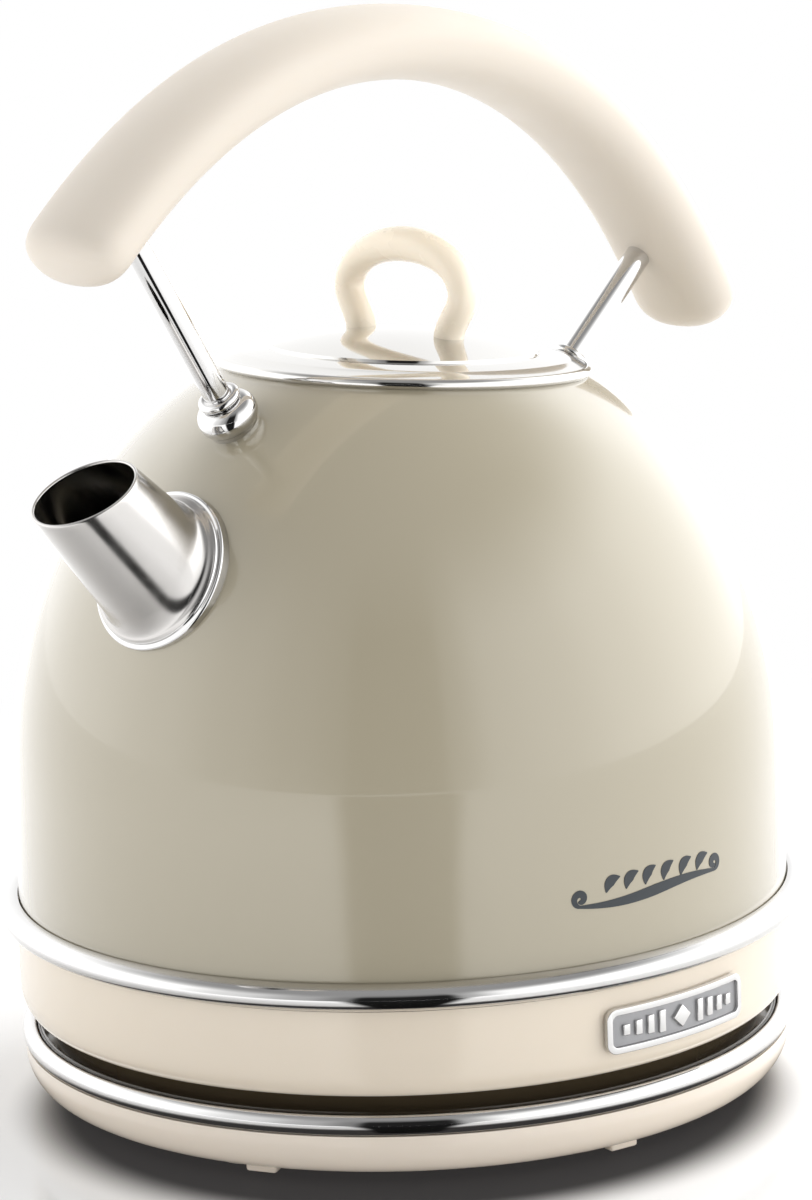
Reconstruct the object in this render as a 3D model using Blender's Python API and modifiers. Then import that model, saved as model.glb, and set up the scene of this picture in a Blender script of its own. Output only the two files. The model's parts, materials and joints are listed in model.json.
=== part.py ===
"""Electric kettle with a domed body, an arched handle and a cordless power base.

Metres, +Z up.  The spout points to -X and the badge side faces -Y.  The floor is Z = 0.
Every piece is a separate object in the collection "electric_kettle"; cutters have their own.
"""
import math

import bmesh
import bpy
from mathutils import Euler, Matrix, Vector

MM = 0.001
GAP = 0.3 * MM                      # running gap between neighbouring pieces

# Driving dimensions -----------------------------------------------------------------
AXIS_X = -4.23 * MM                 # the dome's axis; X = 0 is the middle of the whole length
SEGMENTS = 40                       # sides of a large turned piece
HIDDEN_SEGMENTS = 32                # sides of a large piece inside
SMALL_SEGMENTS = 20                 # sides of a small turned piece

RING_Z = 49.0 * MM                  # joint line between the dome and its trim ring
DOME_RADIUS = 92.7 * MM
DOME_WALL = 1.2 * MM
CROWN_RADIUS = 86.6 * MM            # the top of the dome is part of a sphere
CROWN_Z = RING_Z + 48.4 * MM        # centre of that sphere
CROWN_EDGE = math.radians(35)       # latitude where the crown meets the side arc

LID_TILT = math.radians(4.85)       # the lid leans back about the crown's centre
LID_RADIUS = 44.8 * MM
LID_RISE = 10.4 * MM                # lid centre over its rim
LID_STEP_RADIUS = 33.5 * MM
LID_STEP_RISE = 5.5 * MM
MOUTH_RADIUS = 42.2 * MM            # filling hole in the dome

HANDLE_TILT = math.radians(9.0)     # the handle leans back about HANDLE_PIVOT_Z
HANDLE_PIVOT_X = 0.6 * MM
HANDLE_PIVOT_Z = RING_Z + 122.0 * MM
HANDLE_TOP = 78.8 * MM              # arch's centre line over the pivot
HANDLE_HALF_THICK = 8.7 * MM
HANDLE_HALF_WIDTH = 14.0 * MM
HANDLE_FRONT = 104.5 * MM           # reach of the centre line to the front and to the rear
HANDLE_REAR = 108.5 * MM

POST_RADIUS = 3.5 * MM
POST_SLOPE = math.radians(48.7)     # in the handle's own tilted frame
POST_AT_X = 82.9 * MM               # the post's axis passes this point of that frame
POST_AT_Z = 24.9 * MM
BOSS_RADIUS = 7.4 * MM

SPOUT_TILT = math.radians(44.5)     # spout axis over the horizontal
SPOUT_MOUTH_TILT = math.radians(64.0)   # the mouth is cut across the tube at a slant
SPOUT_MOUTH_X = 99.29 * MM          # centre of the mouth
SPOUT_MOUTH_Z = RING_Z + 109.8 * MM
SPOUT_MOUTH_RADIUS = 12.4 * MM
SPOUT_ROOT_RADIUS = 15.8 * MM
SPOUT_WALL = 0.9 * MM
FLANGE_TILT = math.radians(27.6)
FLANGE_X = 77.45 * MM
FLANGE_Z = RING_Z + 88.9 * MM
FLANGE_RADIUS = 19.0 * MM

COLLAR_RADIUS = 93.3 * MM
COLLAR_TOP = 42.6 * MM
COLLAR_BOTTOM = 22.0 * MM
COLLAR_WALL = 2.3 * MM

BADGE_WIDTH = 43.0 * MM
BADGE_HEIGHT = 10.6 * MM
BADGE_Z = 32.8 * MM
BADGE_TURN = math.radians(-95.0)    # direction of the badge's middle from +X

DECK_Z = 14.0 * MM                  # top of the power base
FOOT_HEIGHT = 2.4 * MM
FOOT_RADIUS = 7.5 * MM
FOOT_CIRCLE = 73.0 * MM
FOOT_COUNT = 5
FOOT_TURN = math.radians(-95.6)
SCREW_COUNT = 3

LEVER_X = 84.0 * MM                 # switch lever's pin
LEVER_Z = 33.0 * MM
LEVER_REST = math.radians(7.0)      # the lever points up by this when it is off

# Colours: (red, green, blue), metallic, roughness -------------------------------------
CREAM_PAINT = ((0.68, 0.66, 0.53), 0.0, 0.15)
CREAM_PLASTIC = ((0.80, 0.77, 0.66), 0.0, 0.30)
HANDLE_PLASTIC = ((0.82, 0.77, 0.70), 0.0, 0.45)
CHROME = ((0.85, 0.85, 0.86), 1.0, 0.06)
STEEL = ((0.70, 0.69, 0.67), 1.0, 0.22)
ALUMINIUM = ((0.60, 0.60, 0.61), 1.0, 0.40)
BRASS = ((0.75, 0.57, 0.25), 1.0, 0.25)
BLACK_PLASTIC = ((0.03, 0.03, 0.03), 0.0, 0.45)
BROWN_PLASTIC = ((0.09, 0.07, 0.045), 0.0, 0.40)
RUBBER = ((0.55, 0.54, 0.50), 0.0, 0.80)
SILICONE = ((0.75, 0.75, 0.72), 0.0, 0.60)

PARTS = "electric_kettle"
CUTTERS = "electric_kettle_cutters"


# Scene helpers -----------------------------------------------------------------------
def clear_scene():
    for thing in list(bpy.data.objects):
        bpy.data.objects.remove(thing, do_unlink=True)
    for name in (PARTS, CUTTERS):
        if name not in bpy.data.collections:
            group = bpy.data.collections.new(name)
            bpy.context.scene.collection.children.link(group)


def paint(thing, look):
    """Give the piece its own Principled material."""
    colour, metallic, roughness = look
    material = bpy.data.materials.new(thing.name + "_finish")
    material.use_nodes = True
    shader = material.node_tree.nodes["Principled BSDF"]
    shader.inputs["Base Color"].default_value = (*colour, 1.0)
    shader.inputs["Metallic"].default_value = metallic
    shader.inputs["Roughness"].default_value = roughness
    material.diffuse_color = (*colour, 1.0)
    thing.data.materials.clear()
    thing.data.materials.append(material)


def add_object(name, data, look=None, where=None):
    """Link a new object; one with no look is a cutter."""
    thing = bpy.data.objects.new(name, data)
    bpy.data.collections[CUTTERS if look is None else PARTS].objects.link(thing)
    if look is None:
        thing.hide_render = True
        thing.display_type = "WIRE"
    else:
        paint(thing, look)
    thing.matrix_world = where if where is not None else on_axis()
    return thing


def on_axis(z=0.0):
    """Frame on the dome's axis, at height z."""
    return Matrix.Translation((AXIS_X, 0, z))


def tilted(x, z, lean):
    """Frame at (x, 0, z) from the dome's axis whose +Z leans back (to +X) by lean."""
    return Matrix.Translation((AXIS_X + x, 0, z)) @ Euler((0, lean, 0)).to_matrix().to_4x4()


def lid_frame():
    """Frame of the lid: its centre at rim height, leaning about the crown's centre."""
    rise = math.sqrt(CROWN_RADIUS ** 2 - LID_RADIUS ** 2)
    return tilted(0, CROWN_Z, LID_TILT) @ Matrix.Translation((0, 0, rise))


def handle_frame():
    return tilted(HANDLE_PIVOT_X, HANDLE_PIVOT_Z, HANDLE_TILT)


def spout_frame():
    """Frame at the centre of the spout's mouth, +Z out of the mouth."""
    return tilted(-SPOUT_MOUTH_X, SPOUT_MOUTH_Z, SPOUT_TILT - math.pi / 2)


def smooth(thing, angle=35):
    thing.data.shade_smooth()
    thing.data.set_sharp_from_angle(angle=math.radians(angle))


# Shape helpers -----------------------------------------------------------------------
def turned(name, outline, look=None, where=None, closed=False, segments=SEGMENTS):
    """Turn an outline of (radius, height) points, top to bottom on its outer side.

    A closed outline makes a ring. An open one starts and ends on the axis.
    """
    mesh = bpy.data.meshes.new(name)
    edges = [(i, i + 1) for i in range(len(outline) - 1)]
    if closed:
        edges.append((len(outline) - 1, 0))
    mesh.from_pydata([(r, 0, z) for r, z in outline], edges, [])
    thing = add_object(name, mesh, look, where)
    screw = thing.modifiers.new("turn", "SCREW")
    screw.steps = segments
    screw.render_steps = segments
    screw.use_merge_vertices = True
    screw.merge_threshold = 0.00001
    screw.use_smooth_shade = True
    return thing


def box(name, size, look=None, where=None, bevel=0.0):
    bpy.ops.mesh.primitive_cube_add(size=1)
    mesh = bpy.context.object.data
    bpy.data.objects.remove(bpy.context.object, do_unlink=True)
    mesh.transform(Matrix.Diagonal((*size, 1)))
    thing = add_object(name, mesh, look, where)
    if bevel:
        rounding = thing.modifiers.new("rounding", "BEVEL")
        rounding.width = bevel
        rounding.segments = 2
    return thing


def cylinder(name, radius, bottom, top, look=None, where=None, segments=SMALL_SEGMENTS):
    mesh = bpy.data.meshes.new(name)
    shape = bmesh.new()
    bmesh.ops.create_cone(shape, cap_ends=True, segments=segments, radius1=radius,
                          radius2=radius, depth=top - bottom,
                          matrix=Matrix.Translation((0, 0, (top + bottom) / 2)))
    shape.to_mesh(mesh)
    shape.free()
    thing = add_object(name, mesh, look, where)
    if look is not None:
        smooth(thing)
    return thing


def join(thing, other, operation):
    step = thing.modifiers.new(operation.lower(), "BOOLEAN")
    step.operation = operation
    step.solver = "EXACT"
    step.object = other


def cut(thing, *cutters):
    for cutter in cutters:
        join(thing, cutter, "DIFFERENCE")


def tube(name, points, radius, look, where, stretch=1.0, radii=None, sides=2):
    """A solid tube along points, as a mesh; stretch widens its section along local Y."""
    curve = bpy.data.curves.new(name, "CURVE")
    curve.dimensions = "3D"
    curve.bevel_depth = radius
    curve.bevel_resolution = sides
    curve.use_fill_caps = True
    spline = curve.splines.new("POLY")
    spline.points.add(len(points) - 1)
    for i, place in enumerate(points):
        spline.points[i].co = (*place, 1)
        spline.points[i].radius = radii[i] if radii else 1.0
    guide = bpy.data.objects.new(name + "_guide", curve)
    bpy.context.scene.collection.objects.link(guide)
    bpy.context.view_layer.update()
    graph = bpy.context.evaluated_depsgraph_get()
    mesh = bpy.data.meshes.new_from_object(guide.evaluated_get(graph))
    bpy.data.objects.remove(guide, do_unlink=True)
    shape = bmesh.new()
    shape.from_mesh(mesh)
    bmesh.ops.remove_doubles(shape, verts=shape.verts, dist=0.00001)
    bmesh.ops.recalc_face_normals(shape, faces=shape.faces)
    shape.to_mesh(mesh)
    shape.free()
    mesh.transform(Matrix.Diagonal((1, stretch, 1, 1)))
    thing = add_object(name, mesh, look, where)
    smooth(thing, 50)
    return thing


def arc(centre, radius, start, end, count):
    """Points on a circle, from angle start to angle end (degrees)."""
    turns = [math.radians(start + (end - start) * i / (count - 1)) for i in range(count)]
    return [(centre[0] + radius * math.cos(t), centre[1] + radius * math.sin(t)) for t in turns]


def around(count, radius, first=0.0):
    """Places on a circle about the dome's axis."""
    turns = [first + 2 * math.pi * i / count for i in range(count)]
    return [(AXIS_X + radius * math.cos(t), radius * math.sin(t)) for t in turns]


def dome_outline(inset=0.0, bottom=44.0 * MM, points=5):
    """The dome from its top centre to its lower edge, moved in by inset.

    A spherical crown runs into a flatter side arc, which ends in a short cylinder.
    """
    edge = math.degrees(CROWN_EDGE)
    crown = arc((0, CROWN_Z), CROWN_RADIUS - inset, 90, edge, points + 3)
    side_radius = (DOME_RADIUS - CROWN_RADIUS * math.cos(CROWN_EDGE)) / (1 - math.cos(CROWN_EDGE))
    reach = CROWN_RADIUS - side_radius
    centre = (reach * math.cos(CROWN_EDGE), CROWN_Z + reach * math.sin(CROWN_EDGE))
    side = arc(centre, side_radius - inset, edge, 0, points)
    return crown + side[1:] + [(DOME_RADIUS - inset, bottom)]


def dome_block():
    """Solid the shape of the dome, one gap larger, that trims what sits on it."""
    outline = dome_outline(inset=-GAP, points=9)
    outline[0] = (0, outline[0][1])
    return turned("cut_dome_block", outline + [(0, 44.0 * MM)], segments=64)


# Power base --------------------------------------------------------------------------
def make_power_base():
    cover = turned("base_cover", [
        (20.3 * MM, DECK_Z), (88.3 * MM, DECK_Z), (88.3 * MM, 13.0 * MM), (92.5 * MM, 13.0 * MM),
        (92.4 * MM, 10.8 * MM), (91.2 * MM, 7.6 * MM), (88.9 * MM, 4.8 * MM), (86.2 * MM, 3.1 * MM),
        (84.7 * MM, 3.1 * MM), (86.9 * MM, 6.0 * MM), (89.4 * MM, 9.0 * MM), (90.0 * MM, 11.0 * MM),
        (20.3 * MM, 11.6 * MM)], CREAM_PLASTIC, closed=True)
    turned("base_trim_ring", [(88.7 * MM, 17.4 * MM)]
           + arc((90.4 * MM, 15.3 * MM), 2.9 * MM, 100, -35, 7)
           + [(91.5 * MM, 13.3 * MM), (88.7 * MM, 13.3 * MM)], CHROME, closed=True)
    plate = turned("base_bottom_plate", [
        (0, 4.9 * MM), (83.6 * MM, 4.9 * MM), (84.2 * MM, 4.4 * MM), (83.4 * MM, 2.7 * MM),
        (0, 2.7 * MM)], CREAM_PLASTIC, segments=HIDDEN_SEGMENTS)
    for i, (x, y) in enumerate(around(FOOT_COUNT, FOOT_CIRCLE, FOOT_TURN), 1):
        cylinder(f"base_foot_{i}", FOOT_RADIUS, 0, FOOT_HEIGHT, RUBBER,
                 Matrix.Translation((x, y, 0)))
    for i, (x, y) in enumerate(around(SCREW_COUNT, 55.0 * MM, math.radians(15)), 1):
        place = Matrix.Translation((x, y, 0))
        cut(plate, cylinder(f"cut_base_screw_{i}", 2.2 * MM, 0, 8 * MM, where=place, segments=12))
        screw(f"base_screw_{i}", place, head_top=2.4 * MM, tip=10.8 * MM)
    gland(cover)
    connector()


def screw(name, place, head_top, tip, head_radius=3.4 * MM, shank_radius=1.8 * MM):
    """A pan-head screw pointing along +Z, its head below head_top."""
    turned(name, [(0, tip), (shank_radius * 0.6, tip), (shank_radius, tip - 1.2 * MM),
                  (shank_radius, head_top), (head_radius, head_top),
                  (head_radius, head_top - 0.8 * MM), (head_radius * 0.7, head_top - 1.4 * MM),
                  (0, head_top - 1.5 * MM)], STEEL, place, segments=12)


def gland(cover):
    """The bush in the rear wall of the base where the mains lead goes in."""
    place = Matrix.Translation((AXIS_X, 0, 8.2 * MM)) @ Euler((0, math.pi / 2, 0)).to_matrix().to_4x4()
    cut(cover, cylinder("cut_cord_gland", 4.9 * MM, 80 * MM, 100 * MM, where=place))
    turned("cord_gland", [(3.4 * MM, 94.6 * MM), (4.1 * MM, 94.6 * MM), (4.6 * MM, 94.0 * MM),
                          (4.6 * MM, 85.2 * MM), (3.4 * MM, 85.2 * MM)],
           BLACK_PLASTIC, place, closed=True, segments=SMALL_SEGMENTS)


def connector():
    """The male half of the round connector, with its contacts."""
    turned("connector_pillar", [
        (3.2 * MM, 32.6 * MM), (9.7 * MM, 32.6 * MM), (10.5 * MM, 31.6 * MM), (10.5 * MM, 16.0 * MM),
        (19.4 * MM, 16.0 * MM), (19.9 * MM, 15.5 * MM), (19.9 * MM, 5.3 * MM), (3.2 * MM, 5.3 * MM)],
        BLACK_PLASTIC, closed=True, segments=SMALL_SEGMENTS)
    turned("connector_contact_ring", [
        (10.8 * MM, 28.6 * MM), (11.5 * MM, 28.0 * MM), (11.5 * MM, 23.6 * MM), (10.8 * MM, 23.0 * MM)],
        BRASS, closed=True, segments=SMALL_SEGMENTS)
    turned("connector_pin", [
        (0, 36.0 * MM), (1.4 * MM, 35.6 * MM), (2.6 * MM, 34.2 * MM), (2.6 * MM, 6.0 * MM), (0, 6.0 * MM)],
        BRASS, segments=12)


# Body --------------------------------------------------------------------------------
def make_dome():
    """The painted shell, the chromed band round its foot and the neck in its mouth."""
    outer = dome_outline()
    outer[0] = (0, outer[0][1])
    inner = dome_outline(inset=DOME_WALL)
    inner[0] = (0, inner[0][1])
    dome = turned("dome_body", outer + inner[::-1], CREAM_PAINT)
    cut(dome,
        cylinder("cut_mouth", MOUTH_RADIUS, -20 * MM, 30 * MM, where=lid_frame(), segments=SEGMENTS),
        cylinder("cut_spout_hole", SPOUT_ROOT_RADIUS - 2.4 * MM, -62 * MM, 0, where=spout_frame()))
    turned("trim_ring", [(93.05 * MM, 49.2 * MM)]
           + [(93.05 * MM + 4.45 * MM * math.cos(math.radians(a)),
               46.1 * MM + 3.1 * MM * math.sin(math.radians(a))) for a in range(75, -76, -25)]
           + [(93.05 * MM, 43.0 * MM)], CHROME, closed=True)
    turned("mouth_neck", [(40.6 * MM, 1.5 * MM), (41.9 * MM, 1.2 * MM), (41.9 * MM, -8 * MM),
                          (40.6 * MM, -8 * MM)], STEEL, lid_frame(), closed=True,
           segments=HIDDEN_SEGMENTS)
    return dome


def make_collar():
    inner = COLLAR_RADIUS - COLLAR_WALL
    collar = turned("collar", [
        (inner, COLLAR_TOP), (COLLAR_RADIUS, COLLAR_TOP), (COLLAR_RADIUS, 30.0 * MM),
        (92.9 * MM, 24.8 * MM), (92.2 * MM, 22.9 * MM), (91.0 * MM, COLLAR_BOTTOM),
        (90.0 * MM, COLLAR_BOTTOM), (90.3 * MM, 24.8 * MM), (inner, 30.0 * MM)],
        CREAM_PLASTIC, closed=True)
    slot = Matrix.Translation((AXIS_X + COLLAR_RADIUS, 0, LEVER_Z))
    cut(collar, box("cut_lever_slot", (14 * MM, 23 * MM, 13 * MM), where=slot))
    underside = turned("underside_cover", [
        (17.6 * MM, 26.0 * MM), (88.6 * MM, 26.0 * MM), (89.4 * MM, 25.2 * MM), (89.4 * MM, 23.4 * MM),
        (86.8 * MM, 22.0 * MM), (85.7 * MM, 14.8 * MM), (85.2 * MM, 14.3 * MM), (82.6 * MM, 14.3 * MM),
        (82.1 * MM, 14.8 * MM), (81.0 * MM, 23.6 * MM), (17.6 * MM, 23.6 * MM)],
        BROWN_PLASTIC, closed=True, segments=HIDDEN_SEGMENTS)
    for i, (x, y) in enumerate(around(SCREW_COUNT, 60.0 * MM, math.radians(60)), 1):
        place = Matrix.Translation((x, y, 0))
        cut(underside, cylinder(f"cut_cover_screw_{i}", 2.2 * MM, 20 * MM, 30 * MM, where=place,
                                segments=12))
        screw(f"cover_screw_{i}", place, head_top=23.3 * MM, tip=38 * MM)


def make_heater():
    plate = turned("heater_plate", [(0, 49.8 * MM), (85.4 * MM, 49.8 * MM), (86.0 * MM, 49.2 * MM),
                                    (86.0 * MM, 48.6 * MM), (0, 48.6 * MM)], STEEL,
                   segments=HIDDEN_SEGMENTS)
    turned("plate_seal", [(86.3 * MM, 51.4 * MM), (91.0 * MM, 51.4 * MM), (91.0 * MM, 47.2 * MM),
                          (86.3 * MM, 47.2 * MM)], SILICONE, closed=True, segments=HIDDEN_SEGMENTS)
    turned("clamp_ring", [(84.6 * MM, 46.8 * MM), (91.0 * MM, 46.8 * MM), (91.0 * MM, 44.2 * MM),
                          (84.6 * MM, 44.2 * MM)], STEEL, closed=True, segments=HIDDEN_SEGMENTS)
    ring = arc((0, 0), 48 * MM, 38, 322, 26)
    tube("heating_element", [(x, y, 0) for x, y in ring], 3.6 * MM, ALUMINIUM, on_axis(44.6 * MM))
    steam = Matrix.Translation((AXIS_X + 66 * MM, 0, 0))
    cut(plate, cylinder("cut_steam_tube", 4.5 * MM, 40 * MM, 60 * MM, where=steam))
    turned("steam_tube", [(3.0 * MM, 146 * MM), (4.0 * MM, 146 * MM), (4.0 * MM, 43.6 * MM),
                          (3.0 * MM, 43.6 * MM)], STEEL, steam, closed=True, segments=16)
    box("thermostat_control", (25 * MM, 42 * MM, 13 * MM), BLACK_PLASTIC,
        Matrix.Translation((AXIS_X + 32 * MM, 0, 35.0 * MM)), bevel=1.2 * MM)
    turned("bimetal_disc", [(0, 43.0 * MM), (9.0 * MM, 42.4 * MM), (9.0 * MM, 41.9 * MM),
                            (0, 42.4 * MM)], BRASS, tilted(32 * MM, 0, 0), segments=SMALL_SEGMENTS)
    turned("connector_socket", [
        (0, 40.4 * MM), (16.4 * MM, 40.4 * MM), (17.0 * MM, 39.8 * MM), (17.0 * MM, 24.4 * MM),
        (16.6 * MM, 24.0 * MM), (12.7 * MM, 24.0 * MM), (12.3 * MM, 24.4 * MM), (12.3 * MM, 37.6 * MM),
        (0, 37.6 * MM)], BLACK_PLASTIC, segments=SMALL_SEGMENTS)


def make_switch():
    """The lever at the rear, on a pin in a U-shaped bracket."""
    pin_place = Matrix.Translation((AXIS_X + LEVER_X, 0, LEVER_Z))
    turn = Euler((0, -LEVER_REST, 0)).to_matrix().to_4x4()
    across = Euler((math.pi / 2, 0, 0)).to_matrix().to_4x4()
    lever = box("switch_lever", (20 * MM, 17 * MM, 3.6 * MM), CREAM_PLASTIC,
                pin_place @ turn @ Matrix.Translation((8.5 * MM, 0, 0)))
    barrel = cylinder("add_lever_barrel", 3.4 * MM, -8.5 * MM, 8.5 * MM, where=pin_place @ across)
    join(lever, barrel, "UNION")
    cut(lever, cylinder("cut_lever_bore", 1.9 * MM, -12 * MM, 12 * MM, where=pin_place @ across))
    cylinder("switch_pin", 1.5 * MM, -10.6 * MM, 10.6 * MM, STEEL, pin_place @ across, segments=16)
    bracket_place = Matrix.Translation((AXIS_X + LEVER_X - 3.5 * MM, 0, 33.4 * MM))
    bracket = box("switch_bracket", (14 * MM, 24.6 * MM, 12.6 * MM), STEEL, bracket_place)
    cut(bracket,
        box("cut_bracket_slot", (14 * MM, 18.4 * MM, 20 * MM),
            where=bracket_place @ Matrix.Translation((2.4 * MM, 0, 0))),
        cylinder("cut_bracket_bore", 1.8 * MM, -20 * MM, 20 * MM, where=pin_place @ across,
                 segments=16))


def wrapped(name, width, height, inner, outer, look=None):
    """A plate bent round the collar, its middle at the badge's place."""
    bpy.ops.mesh.primitive_grid_add(x_subdivisions=12, y_subdivisions=1, size=1)
    mesh = bpy.context.object.data
    bpy.data.objects.remove(bpy.context.object, do_unlink=True)
    shape = bmesh.new()
    shape.from_mesh(mesh)
    top = bmesh.ops.extrude_face_region(shape, geom=shape.faces[:])["geom"]
    raised = {v for v in top if isinstance(v, bmesh.types.BMVert)}
    for vert in shape.verts:
        reach = outer if vert in raised else inner
        turn = BADGE_TURN + vert.co.x * width / COLLAR_RADIUS
        vert.co = (reach * math.cos(turn), reach * math.sin(turn), BADGE_Z + vert.co.y * height)
    bmesh.ops.recalc_face_normals(shape, faces=shape.faces)
    shape.to_mesh(mesh)
    shape.free()
    return add_object(name, mesh, look)


def make_badge():
    skin = COLLAR_RADIUS + 0.5 * MM
    frame = wrapped("badge_frame", BADGE_WIDTH, BADGE_HEIGHT, skin, skin + 1.3 * MM, CHROME)
    cut(frame, wrapped("cut_badge_window", BADGE_WIDTH - 3 * MM, BADGE_HEIGHT - 3 * MM,
                       skin - 2 * MM, skin + 4 * MM))
    wrapped("badge_plate", BADGE_WIDTH - 4 * MM, BADGE_HEIGHT - 4 * MM, skin, skin + 0.8 * MM,
            ALUMINIUM)


# Spout -------------------------------------------------------------------------------
def make_spout(block):
    length, spare = 46 * MM, 6 * MM
    grow = (SPOUT_ROOT_RADIUS - SPOUT_MOUTH_RADIUS) / (38 * MM)
    root, tip = SPOUT_MOUTH_RADIUS + grow * length, SPOUT_MOUTH_RADIUS - grow * spare
    spout = turned("spout", [
        (tip - SPOUT_WALL, spare), (tip, spare), (root, -length),
        (root - SPOUT_WALL, -length)], STEEL, spout_frame(), closed=True, segments=36)
    slant = tilted(-SPOUT_MOUTH_X, SPOUT_MOUTH_Z, SPOUT_MOUTH_TILT - math.pi / 2)
    cut(spout, block, cylinder("cut_spout_mouth", 30 * MM, 0, 30 * MM, where=slant))
    flange_place = tilted(-FLANGE_X, FLANGE_Z, FLANGE_TILT - math.pi / 2)
    flange = turned("spout_flange", [
        (0, 1.6 * MM), (FLANGE_RADIUS - 1.2 * MM, 1.4 * MM), (FLANGE_RADIUS, 0.6 * MM),
        (FLANGE_RADIUS, -5 * MM), (0, -5 * MM)], STEEL, flange_place, segments=36)
    core = turned("cut_spout_core", [
        (0, 10 * MM), (SPOUT_MOUTH_RADIUS + GAP - grow * 10 * MM, 10 * MM),
        (root + GAP + grow * 14 * MM, -length - 14 * MM), (0, -length - 14 * MM)],
        where=spout_frame(), segments=36)
    cut(flange, core, block)


# Handle and posts --------------------------------------------------------------------
def arch_height(x):
    """Height of the handle's centre line over its pivot, at x from the middle."""
    unit = 94 * MM
    return HANDLE_TOP - unit * (0.3546 * (x / unit) ** 2 + 0.0816 * (x / unit) ** 4)


def make_handle(dome, block):
    count = 23
    points = []
    for i in range(count):
        x = -HANDLE_FRONT + (HANDLE_FRONT + HANDLE_REAR) * i / (count - 1)
        points.append((x, 0, arch_height(x)))
    for ends in (0, -1):
        step = 1 if ends == 0 else -1
        tip, near = Vector(points[ends]), Vector(points[ends + step])
        along = (tip - near).normalized()
        tail = [tip + along * 3.5 * MM, tip + along * 5.6 * MM]
        points = [tuple(p) for p in tail[::-1]] + points if ends == 0 else points + [tuple(p) for p in tail]
    radii = [0.62, 0.90] + [1.0] * count + [0.90, 0.62]
    handle = tube("handle", points, HANDLE_HALF_THICK, HANDLE_PLASTIC, handle_frame(),
                  stretch=HANDLE_HALF_WIDTH / HANDLE_HALF_THICK, radii=radii, sides=3)
    for name, side in (("front", -1), ("rear", 1)):
        make_post(name, side, handle, dome, block)


def post_frame(side):
    """Frame on a post's axis, +Z up along the post, where POST_AT_X and POST_AT_Z say."""
    lean = Euler((0, side * (math.pi / 2 - POST_SLOPE), 0)).to_matrix().to_4x4()
    return handle_frame() @ Matrix.Translation((side * POST_AT_X, 0, POST_AT_Z)) @ lean


def crown_distance(frame):
    """How far down the frame's own Z axis the dome's outer skin is."""
    origin = frame.translation - Vector((AXIS_X, 0, CROWN_Z))
    axis = frame.to_3x3() @ Vector((0, 0, 1))
    middle = origin.dot(axis)
    return middle - math.sqrt(middle ** 2 - origin.length_squared + CROWN_RADIUS ** 2)


def make_post(name, side, handle, dome, block):
    frame = post_frame(side)
    foot = -crown_distance(frame)
    seat = frame @ Matrix.Translation((0, 0, foot))
    top = -foot + 22 * MM
    cylinder(f"post_{name}", POST_RADIUS, -8.0 * MM, top, CHROME, seat)
    bore = cylinder(f"cut_post_{name}", POST_RADIUS + GAP, -12 * MM, top + GAP, where=seat)
    cut(handle, bore)
    cut(dome, bore)
    boss = turned(f"post_boss_{name}", [(POST_RADIUS + GAP, 5.4 * MM), (5.4 * MM, 5.4 * MM)]
                  + arc((BOSS_RADIUS - 2.6 * MM, 2.8 * MM), 2.6 * MM, 70, 0, 4)
                  + [(BOSS_RADIUS, -3 * MM), (POST_RADIUS + GAP, -3 * MM)],
                  CHROME, seat, closed=True, segments=SMALL_SEGMENTS)
    cut(boss, block)
    turned(f"post_collar_{name}", [(POST_RADIUS + GAP, 8.2 * MM), (4.7 * MM, 8.0 * MM),
                                   (5.2 * MM, 7.2 * MM), (5.2 * MM, 5.8 * MM),
                                   (POST_RADIUS + GAP, 5.8 * MM)],
           CHROME, seat, closed=True, segments=SMALL_SEGMENTS)
    under = -DOME_WALL - 2.2 * MM
    nut_bore = (POST_RADIUS + GAP) / math.cos(math.pi / 6)
    turned(f"post_nut_{name}", [(nut_bore, under), (6.6 * MM, under),
                                (6.6 * MM, under - 3.4 * MM), (nut_bore, under - 3.4 * MM)],
           STEEL, seat, closed=True, segments=6)


# Lid ---------------------------------------------------------------------------------
def lid_height(radius):
    """Height of the lid's polished cap over its rim."""
    return LID_RISE - (LID_RISE - LID_STEP_RISE - 0.5 * MM) * (radius / LID_STEP_RADIUS) ** 2


def make_lid():
    frame = lid_frame()
    skin = 1.2 * MM
    cap = [LID_STEP_RADIUS * i / 4 for i in range(5)]
    top = [(r, lid_height(r)) for r in cap]
    under = [(r, lid_height(r) - skin) for r in cap]
    turned("lid_cover", top + [
        (LID_STEP_RADIUS + 0.4 * MM, LID_STEP_RISE - 0.1 * MM), (39.5 * MM, 4.4 * MM),
        (43.4 * MM, 2.9 * MM), (44.5 * MM, 2.0 * MM), (LID_RADIUS, 1.2 * MM), (44.5 * MM, 0.6 * MM),
        (44.0 * MM, 0.8 * MM), (41.8 * MM, 2.1 * MM), (39.0 * MM, 3.2 * MM)] + under[::-1],
        CHROME, frame)
    turned("lid_skirt", [(0, 1.9 * MM), (37.9 * MM, 1.9 * MM), (38.5 * MM, 1.3 * MM),
                         (38.5 * MM, -5 * MM), (37.3 * MM, -5 * MM), (37.3 * MM, 0.7 * MM),
                         (0, 0.7 * MM)], STEEL, frame, segments=HIDDEN_SEGMENTS)
    turned("lid_seal", [(38.8 * MM, -1.0 * MM), (40.2 * MM, -1.6 * MM), (40.2 * MM, -3.0 * MM),
                        (38.8 * MM, -3.6 * MM)], SILICONE, frame, closed=True,
           segments=HIDDEN_SEGMENTS)
    make_knob(frame)


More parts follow.
